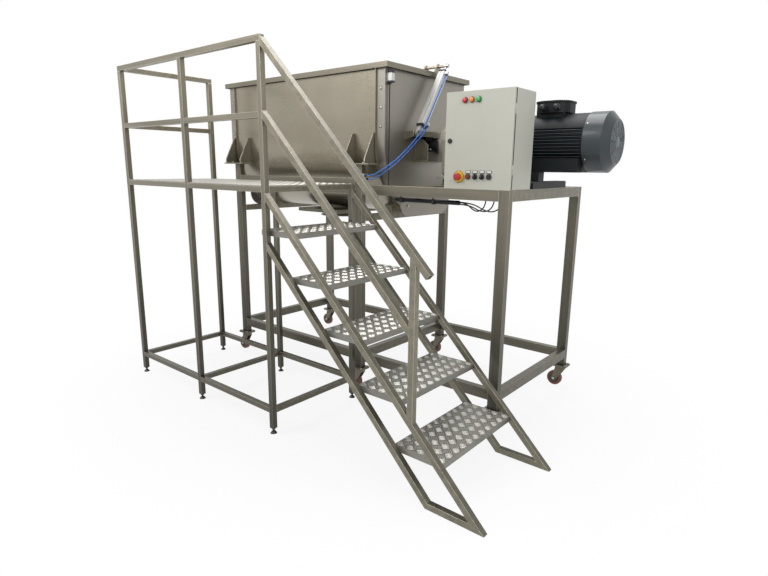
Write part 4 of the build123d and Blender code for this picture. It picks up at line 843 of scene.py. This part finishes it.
class BLENDER_OT_tread_plate(bpy.types.Operator):
    """Raised bars on the deck and on each tread"""

    bl_idname = "ribbon_blender.tread_plate"
    bl_label = "Tread plate"

    treads, tread_depth = 5, 270 * MM
    margin = Vector((3 * MM, 3 * MM, 0))

    def execute(self, context):
        sizes = context.scene.blender_tread
        coat(["platform_deck", "stair_treads"], "tread", 0.8)
        self.bars("deck_bars", sizes, *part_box("platform_deck"))
        low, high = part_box("stair_treads")
        rise = high.z / self.treads
        for step in range(1, self.treads + 1):
            back = high.x - self.tread_depth + rise * (1 - step)
            corner = Vector((back, low.y, 0))
            far = Vector((back + self.tread_depth, high.y, rise * step))
            self.bars(f"tread_bars_{step}", sizes, corner, far)
        return {"FINISHED"}

    def bars(self, name, sizes, low, high):
        """Groups of five bars, turned an eighth to the plate's edges and trimmed to them."""
        middle = (low + high) / 2
        half = sizes.square / sqrt(2)
        reach = [(high[axis] - low[axis]) / 2 + half for axis in (0, 1)]
        count = ceil(max(reach) / half)
        ways = ([], [])
        for column in range(-count, count + 1):
            for row in range(-count, count + 1):
                across, along = (column - row) * half, (column + row) * half
                if abs(across) < reach[0] and abs(along) < reach[1]:
                    way = (column + row) % 2
                    place = Vector((middle.x + across, middle.y + along, high.z))
                    turn = Matrix.Rotation(pi / 4 + way * pi / 2, 4, "Z")
                    ways[way].append(Matrix.Translation(place) @ turn)
        made = []
        # Bars of the other way take the darker copy: painted shade, so the groups show as light and
        # dark squares
        for finish, places in zip(("tread_bar", "tread_bar_across"), ways):
            groups = copies(self.group(sizes), places)
            groups.data.materials.append(finish_of(finish))
            made.append(groups)
        piece = joined(made)
        self.trim(piece, low + self.margin, high - self.margin)
        dress(piece, name, None, "machine", 60)

    def trim(self, piece, low, high):
        """Cuts the bars off outside these corners."""
        edit_all()
        for corner, outward in ((low, -X), (low, -Y), (high, X), (high, Y)):
            bpy.ops.mesh.select_all(action="SELECT")
            bpy.ops.mesh.bisect(plane_co=corner, plane_no=outward, use_fill=True, clear_outer=True)
        tidy_mesh(piece)

    def group(self, sizes):
        """Five bars side by side, centred on the origin, each the top of a flattened ball."""
        start_clean()
        bpy.ops.mesh.primitive_uv_sphere_add(segments=8, ring_count=4, radius=1)
        bar = bpy.context.object
        bar.scale = (sizes.bar_length / 2, sizes.bar_width / 2, sizes.bar_height)
        settle()
        edit_all()
        sunk = (0, 0, -0.1 * MM)
        bpy.ops.mesh.bisect(plane_co=sunk, plane_no=(0, 0, 1), use_fill=True, clear_inner=True)
        tidy_mesh(bar)
        step = sizes.square / 5
        return copies(bar, [Matrix.Translation((0, step * place, 0)) for place in range(-2, 3)])


# Trough and lid


class BLENDER_OT_trough(bpy.types.Operator):
    """Finishes of trough, lid and agitator, with the bolts in the end strips"""

    bl_idname = "ribbon_blender.trough"
    bl_label = "Trough and lid"

    brackets = ["trough_brackets", "cylinder_bracket", "bearing_pedestals", "discharge_outlet"]

    def execute(self, context):
        coat(["trough_body"], "trough")
        coat(["lid_panel"], "lid", 0.8)
        coat(["trough_end_pans"], "wall", 0.8)
        coat(self.brackets, "tube", 0.7)
        coat(["lid_seal", "shaft_seals"], "seal", 0.5)
        coat(["agitator_shaft", "outer_ribbon", "inner_ribbon", "slide_gate"], "bright", 0.6)
        coat(["lid_arm"], "trough", 0.5)
        self.strip_bolts()
        self.frame_bolts()
        return {"FINISHED"}

    def strip_bolts(self):
        """Round heads in the upright strips at the trough's four corners."""
        profile = [(0, 6), (4, 5.4), (7, 3.4), (8.5, 1), (8.6, 0), (11, 0), (11.4, -0.6), (0, -0.6)]
        dome = turned(profile, 20)
        sides = ((AXIS_Y - 440, -Y), (AXIS_Y + 440, Y))
        columns, levels = (32, TROUGH_END - 32), (1720, 1830, 1940)
        places = [aim(spot(x, y, z), out) for y, out in sides for x in columns for z in levels]
        fasten("strip_bolts", dome, places)

    def frame_bolts(self):
        """Hexagon heads on the end walls' feet, the side brackets and the bearing pedestals."""
        washer = turned([(0, 0), (11, 0), (11.3, 0.4), (11.3, 1.8), (10.9, 2.2), (0, 2.2)], 20)
        head = hex_prism(9, 6.5, 1.2)
        head.location = (0, 0, 2 * MM)
        master = joined([washer, head])
        places = []
        for x, out in ((0, -X), (TROUGH_END, X)):
            for y in (AXIS_Y - 205, AXIS_Y + 205):
                places.append(aim(spot(x + out.x * 8, y, 1232), out, 0.3))
        for x in LEG_X[:2]:
            for y, shift in four(505, 52):
                places.append(aim(spot(x + shift, AXIS_Y + y, 1500), Z, shift))
        for x in (-78, TROUGH_END + 78):
            for y in (AXIS_Y - 68, AXIS_Y + 68):
                places.append(aim(spot(x, y, 1591), Z, 0.2))
        fasten("frame_bolts", master, places)


# Drive


class BLENDER_OT_drive(bpy.types.Operator):
    """Finishes of gearbox and motor, with grille, glands and bolts"""

    bl_idname = "ribbon_blender.drive"
    bl_label = "Drive"

    def execute(self, context):
        coat(["gearbox"], "gearbox", 2.0)
        coat(["drive_base"], "base", 1.5)
        coat(["motor_frame", "terminal_box"], "motor", 0.8)
        coat(["fan_cowl"], "cowl", 0.6)
        coat(["motor_fan"], "black")
        coat(["shaft_bearings"], "cast", 1.0)
        coat(["shaft_collar"], "bolt", 0.8)
        self.cooling_ribs()
        self.grille()
        self.cowl_screws()
        self.gland_nuts()
        self.lid_screws()
        self.drive_bolts()
        self.blank_plate()
        return {"FINISHED"}

    def on_axis(self, x):
        """A place on the motor's axis."""
        return Vector((x, spot(0, AXIS_Y, 0).y, AXIS_Z * MM))

    def outward(self, angle):
        return Y * cos(angle) + Z * sin(angle)

    def cooling_ribs(self):
        """Thin ribs halfway between the cast fins, painted lighter as highlights along the fins."""
        lowest, span, count, reach, thick = -86, 156, 9, 154, 2.6
        ribs = []
        for number in range(count):
            height = lowest + (number + 0.5) * span / count
            rib = slab((384, 2 * sqrt(reach**2 - height**2), thick), 0.5, 1)
            rib.location = spot(2446.5, AXIS_Y, AXIS_Z + height - thick / 2)
            ribs.append(rib)
        dress(joined(ribs), "cooling_ribs", "fin", "machine")

    def grille(self):
        """Wire rings on nine spokes round a cap, over the fan, painted lighter as highlights on the
        wires.
        """
        wire, spokes = 1.2, 9
        angles = [pi / 3 * corner for corner in range(7)]
        corners = [(wire * cos(angle), wire * sin(angle)) for angle in angles]
        made = []
        for radius in range(36, 110, 9):
            made.append(turned([(radius + out, up) for out, up in corners], 48))
        for number in range(spokes):
            spoke = slab((80, 3.4, 2.6), 0.6, 1)
            turn = Matrix.Rotation(2 * pi / spokes * number, 4, "Z")
            spoke.matrix_world = turn @ Matrix.Translation((69 * MM, 0, -1.3 * MM))
            made.append(spoke)
        made.append(turned([(0, 2), (24, 1.6), (29, 0.4), (29, -1.5), (0, -1.5)]))
        grille = joined(made)
        grille.matrix_world = aim(self.on_axis(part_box("fan_cowl")[1].x), X)
        dress(grille, "cowl_grille", "grille", "machine")

    def cowl_screws(self):
        screw = turned([(0, 3.4), (3, 3), (5, 1.4), (5.2, 0), (0, 0)], 16)
        middle = self.on_axis(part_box("fan_cowl")[0].x + 14 * MM)
        ways = [self.outward(angle) for angle in (0.6, 2.54, 3.75, 5.68)]
        fasten("cowl_screws", screw, [aim(middle + way * 160 * MM, way) for way in ways])

    def gland_nuts(self):
        """The two closed cable glands on the terminal box."""
        nut = hex_prism(20.5, 10, 1.4)
        profile = [(0, 33), (9, 33), (10, 32), (14.5, 29), (17.7, 21), (17.7, 10), (0, 10)]
        dome = turned(profile, 24)
        bung = turned([(0, 33.6), (8, 33.2), (8.6, 31), (0, 31)], 20)
        master = joined([nut, dome, bung])
        low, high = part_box("terminal_box")
        middle = (low.x + high.x) / 2 + 8 * MM
        front = low.y + 28 * MM
        level = (low.z + high.z) / 2 - 5 * MM
        places = [aim(Vector((middle + side * 39 * MM, front, level)), -Y) for side in (-1, 1)]
        dress(copies(master, places), "terminal_glands", "black", "machine")

    def lid_screws(self):
        screw = turned([(0, 4), (3.5, 3.8), (5, 2.6), (5.2, 0), (0, 0)], 16)
        low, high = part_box("terminal_box")
        middle = self.on_axis((low.x + high.x) / 2)
        middle.z = high.z
        places = [aim(middle + Vector((x, y, 0)) * MM, Z) for x, y in four(66, 66)]
        fasten("terminal_screws", screw, places)

    def drive_bolts(self):
        """Hexagon heads round both flanges of the gearbox and on its feet."""
        head = hex_prism(9.5, 7, 1.2)
        places = []
        for number in range(8):
            way = self.outward(pi / 4 * (number + 0.5))
            for x, radius in ((2213, 164), (1733, 105)):
                places.append(aim(spot(x, AXIS_Y, AXIS_Z) + way * radius * MM, -X))
        for x, y in four(123, 150):
            places.append(aim(spot(GEARBOX_X + x, AXIS_Y + y, 1428), Z))
        fasten("drive_bolts", head, places)

    def blank_plate(self):
        plate = slab((110, 60, 1.6), 0.5)
        rivet = turned([(0, 2.6), (1.6, 2.3), (2.4, 1.4), (0, 1.4)], 12)
        corners = [Matrix.Translation((x * MM, y * MM, 0)) for x, y in four(50, 25)]
        both = joined([plate, copies(rivet, corners)])
        both.matrix_world = aim(spot(GEARBOX_X, AXIS_Y - 130, 1560), -Y)
        dress(both, "gearbox_plate", "alloy", "machine")


# Lid lift


class BLENDER_OT_lift(bpy.types.Operator):
    """Lift cylinder with its end caps, port fittings and the limit switch"""

    bl_idname = "ribbon_blender.lift"
    bl_label = "Lid lift"

    def execute(self, context):
        coat(["cylinder_barrel"], "alloy", 0.6)
        coat(["piston_rod"], "bright", 0.5)
        coat(["field_devices"], "alloy", 0.8)
        self.end_caps()
        ports = [on_barrel(PORT_OUT, *port) for port in (FRONT_PORT, REAR_PORT)]
        places = [aim(port, -LIFT_ALONG) for port in ports]
        self.hose_collars("port_collars", "lift_barrel", places, 7, 6.2)
        self.switch()
        places = [aim(spot(1438, y, z), X) for y, z in VALVE_PORTS]
        self.hose_collars("valve_collars", "machine", places, 7.4, 6.4)
        return {"FINISHED"}

    def end_caps(self):
        height = 15
        cap = slab((49, 49, height), 2.2, 3)
        screw = turned([(0, 2), (3.6, 2), (4, 1.5), (4, 0), (0, 0)], 14)
        corners = [Matrix.Translation(Vector((x, y, height)) * MM) for x, y in four(18, 18)]
        master = joined([cap, copies(screw, corners)])
        ends = ((461.5, LIFT_ALONG), (60.5, -LIFT_ALONG))
        places = [aim(on_barrel(0, 0, along), out) for along, out in ends]
        dress(copies(master, places), "barrel_caps", "black", "lift_barrel")

    def hose_collars(self, name, body, places, foot, rim):
        """Collars round the hoses' ends, with the radius of their foot and of their rim."""
        bore = 4.2
        profile = [(bore, 0), (foot, 0), (foot, 9), (rim, 10), (rim, 13), (bore, 13), (bore, 0)]
        dress(copies(turned(profile, 24), places), name, "black", body)

    def switch(self):
        """Black head, lever, cable nut and base of the limit switch."""
        head, lever, base = slab((34, 32, 20), 2), slab((6, 8, 8), 1), slab((33.4, 31.4, 12), 1.5)
        nut = hex_prism(10, 12, 1)
        made = [head, lever, nut, base]
        for piece, x, z in zip(made, (1570, 1576, 1561, 1570), (2024, 2039, 1961, 1970)):
            piece.location = spot(x, SWITCH_Y, z)
        dress(joined(made), "switch_head", "black", "machine")


# Control cabinet


class BLENDER_OT_cabinet(bpy.types.Operator):
    """Finishes of the cabinet and the trim of its door"""

    bl_idname = "ribbon_blender.cabinet"
    bl_label = "Control cabinet"

    fittings = ["panel_fittings", "door_lock", "selector_left", "selector_right", "start_button"]

    def execute(self, context):
        coat(["cabinet_body", "cabinet_door"], "cabinet", 0.9)
        coat(["control_gear"], "gear", 0.8)
        coat(self.fittings, "black", 0.5)
        coat(["estop_button"], "red", 0.5)
        coat(["stop_button"], "dark_red", 0.4)
        self.gasket()
        self.lamps()
        self.rings()
        self.legends()
        self.lock()
        self.marks()
        return {"FINISHED"}

    def on_door(self, x, rise, out=0.0):
        """The placing that stands a piece on the door, looking forward."""
        return aim(spot(CABINET_LEFT + x, CABINET_FACE - out, CABINET_BASE + rise), -Y)

    def front(self, name, finish, master, places, angle=35):
        """Puts copies of a piece in their places on the door and dresses them as one."""
        dress(copies(master, places), name, finish, "cabinet_door", angle)

    def gasket(self):
        """Rubber strip round the cabinet's opening, a dark line behind the door: partly the real
        gasket, partly a painted shadow of the gap.
        """
        upright, level = (7, 8, 497), (390, 8, 7)
        sides = ((upright, 2.7, 2), (upright, 397.3, 2), (level, 200, 1), (level, 200, 493.8))
        bars = []
        for size, x, rise in sides:
            bar = slab(size, 0.6)
            bar.location = spot(CABINET_LEFT + x, CABINET_FACE + 18.4, CABINET_BASE + rise)
            bars.append(bar)
        dress(joined(bars), "door_gasket_and_gap_shadow", "seal", "machine")

    def lamps(self):
        profile = [(0, 16), (5, 15.5), (9.5, 13.8), (12.6, 11), (14.2, 7), (14.5, 2)]
        profile += [(14.5, 0.2), (0, 0.2)]
        places = [self.on_door(x, LAMP_RISE) for x in LAMP_X]
        for name, place in zip(("red_lens", "amber_lens", "green_lens"), places):
            self.front(name, name, turned(profile), [place], 60)
        ring = turned([(14.4, 0), (16, 0), (16, 2), (15.2, 3), (14.4, 3), (14.4, 0)])
        self.front("lamp_rings", "black", ring, places)

    def rings(self):
        """The emergency stop's collar and the rings of the four buttons."""
        profile = [(7, 8.6), (28, 8.6), (32, 7), (32.6, 5), (32.6, 0), (7, 0), (7, 8.6)]
        places = [self.on_door(STOP_X, STOP_RISE)]
        self.front("estop_collar", "yellow", turned(profile, 48), places)
        ring = turned([(11, 8.4), (14, 8.4), (14.9, 7.4), (14.9, 0), (11, 0), (11, 8.4)])
        places = [self.on_door(x, BUTTON_RISE) for x in BUTTON_X]
        self.front("device_rings", "black", ring, places)

    def legends(self):
        """Blank plates in holders above the four buttons."""
        holder = slab((30, 16, 1.6), 0.5)
        insert = slab((24, 11, 0.8), 0.2)
        places = [self.on_door(x, BUTTON_RISE + 24) for x in BUTTON_X]
        fronts = [self.on_door(x, BUTTON_RISE + 24.5, 1.2) for x in BUTTON_X]
        self.front("legend_holders", "black", holder, places)
        self.front("legend_plates", "white", insert, fronts)

    def lock(self):
        profile = [(0, 0.6), (9, 0.6), (12.6, 0.2), (13.2, -1), (13.2, -4.6), (0, -4.6)]
        face = turned(profile, 28)
        key_bit = slab((3, 13, 1.2), 0.3)
        key_bit.location = (0, 0, 0.4 * MM)
        lock = joined([face, key_bit])
        lock.matrix_world = self.on_door(31, 250, 5.3)
        dress(lock, "lock_face", "black", "door_lock")

    def marks(self):
        """White pointers on the two selectors."""
        for body, x in zip(("selector_left", "selector_right"), BUTTON_X[1:3]):
            mark = slab((2, 9, 0.6), 0.15, 1)
            mark.matrix_world = self.on_door(x, BUTTON_RISE + 6, 20)
            dress(mark, body + "_mark", "white", body)


# Casters


class BLENDER_OT_casters(bpy.types.Operator):
    """Caster forks and wheels with axle nuts, hub rings and plate bolts"""

    bl_idname = "ribbon_blender.casters"
    bl_label = "Casters"

    trail, axle_z, plate_z = 36, 50, 158

    def execute(self, context):
        numbers = range(1, 7)
        coat([f"caster_fork_{number}" for number in numbers], "zinc", 0.8)
        coat([f"caster_wheel_{number}" for number in numbers], "wheel", 1.2)
        places = [(x, y) for x in LEG_X for y in LEG_Y]
        for number, (x, y) in zip(numbers, places):
            self.axle(number, x - self.trail, y)
            self.hub(number, x - self.trail, y)
        self.plate_bolts(places)
        return {"FINISHED"}

    def both_sides(self, x, y, out):
        """The placings on both sides of a wheel, so far out from its middle."""
        return [aim(spot(x, y - out, self.axle_z), -Y), aim(spot(x, y + out, self.axle_z), Y)]

    def axle(self, number, x, y):
        nut = hex_prism(9.5, 7, 1.1)
        tip = turned([(0, 9.5), (4.4, 9.5), (5.4, 8.4), (5.4, 6), (0, 6)], 18)
        nuts = copies(joined([nut, tip]), self.both_sides(x, y, 22))
        dress(nuts, f"axle_nuts_{number}", "bolt", f"caster_fork_{number}")

    def hub(self, number, x, y):
        profile = [(8, 3.2), (13, 3.2), (15, 1), (30, 0.6), (32.4, 2), (32.4, -1), (8, -1)]
        hubs = copies(turned(profile + profile[:1]), self.both_sides(x, y, 12.2))
        dress(hubs, f"wheel_hubs_{number}", "cast", f"caster_wheel_{number}")

    def plate_bolts(self, places):
        head = hex_prism(7.5, 5.5, 1)
        spots = [
            aim(spot(x + across, y + along, self.plate_z), Z, across)
            for x, y in places
            for across, along in four(41, 33)
        ]
        fasten("caster_bolts", head, spots)


# Add-on


class BLENDER_PT_panel(bpy.types.Panel):
    """Lists the steps that dress the blender"""

    bl_idname = "BLENDER_PT_ribbon_blender"
    bl_label = "Ribbon Blender"
    bl_space_type = "VIEW_3D"
    bl_region_type = "UI"
    bl_category = "Ribbon Blender"

    def draw(self, context):
        for operator in OPERATORS:
            self.layout.operator(operator.bl_idname)


GROUPS = {
    "blender_steel": BlenderSteel,
    "blender_paint": BlenderPaint,
    "blender_cords": BlenderCords,
    "blender_tread": BlenderTread,
    "blender_stage": BlenderStage,
}
OPERATORS = (
    BLENDER_OT_stage,
    BLENDER_OT_hoses,
    BLENDER_OT_cables,
    BLENDER_OT_steelwork,
    BLENDER_OT_tread_plate,
    BLENDER_OT_trough,
    BLENDER_OT_drive,
    BLENDER_OT_lift,
    BLENDER_OT_cabinet,
    BLENDER_OT_casters,
)


def register():
    for name, group in GROUPS.items():
        bpy.utils.register_class(group)
        setattr(bpy.types.Scene, name, bpy.props.PointerProperty(type=group))
    for operator in OPERATORS:
        bpy.utils.register_class(operator)
    bpy.utils.register_class(BLENDER_PT_panel)


def unregister():
    bpy.utils.unregister_class(BLENDER_PT_panel)
    for operator in reversed(OPERATORS):
        bpy.utils.unregister_class(operator)
    for name, group in reversed(GROUPS.items()):
        delattr(bpy.types.Scene, name)
        bpy.utils.unregister_class(group)


def main():
    register()
    for operator in OPERATORS:
        step = operator.bl_idname.partition(".")[2]
        getattr(bpy.ops.ribbon_blender, step)()
    start_clean()


if __name__ == "__main__":
    main()
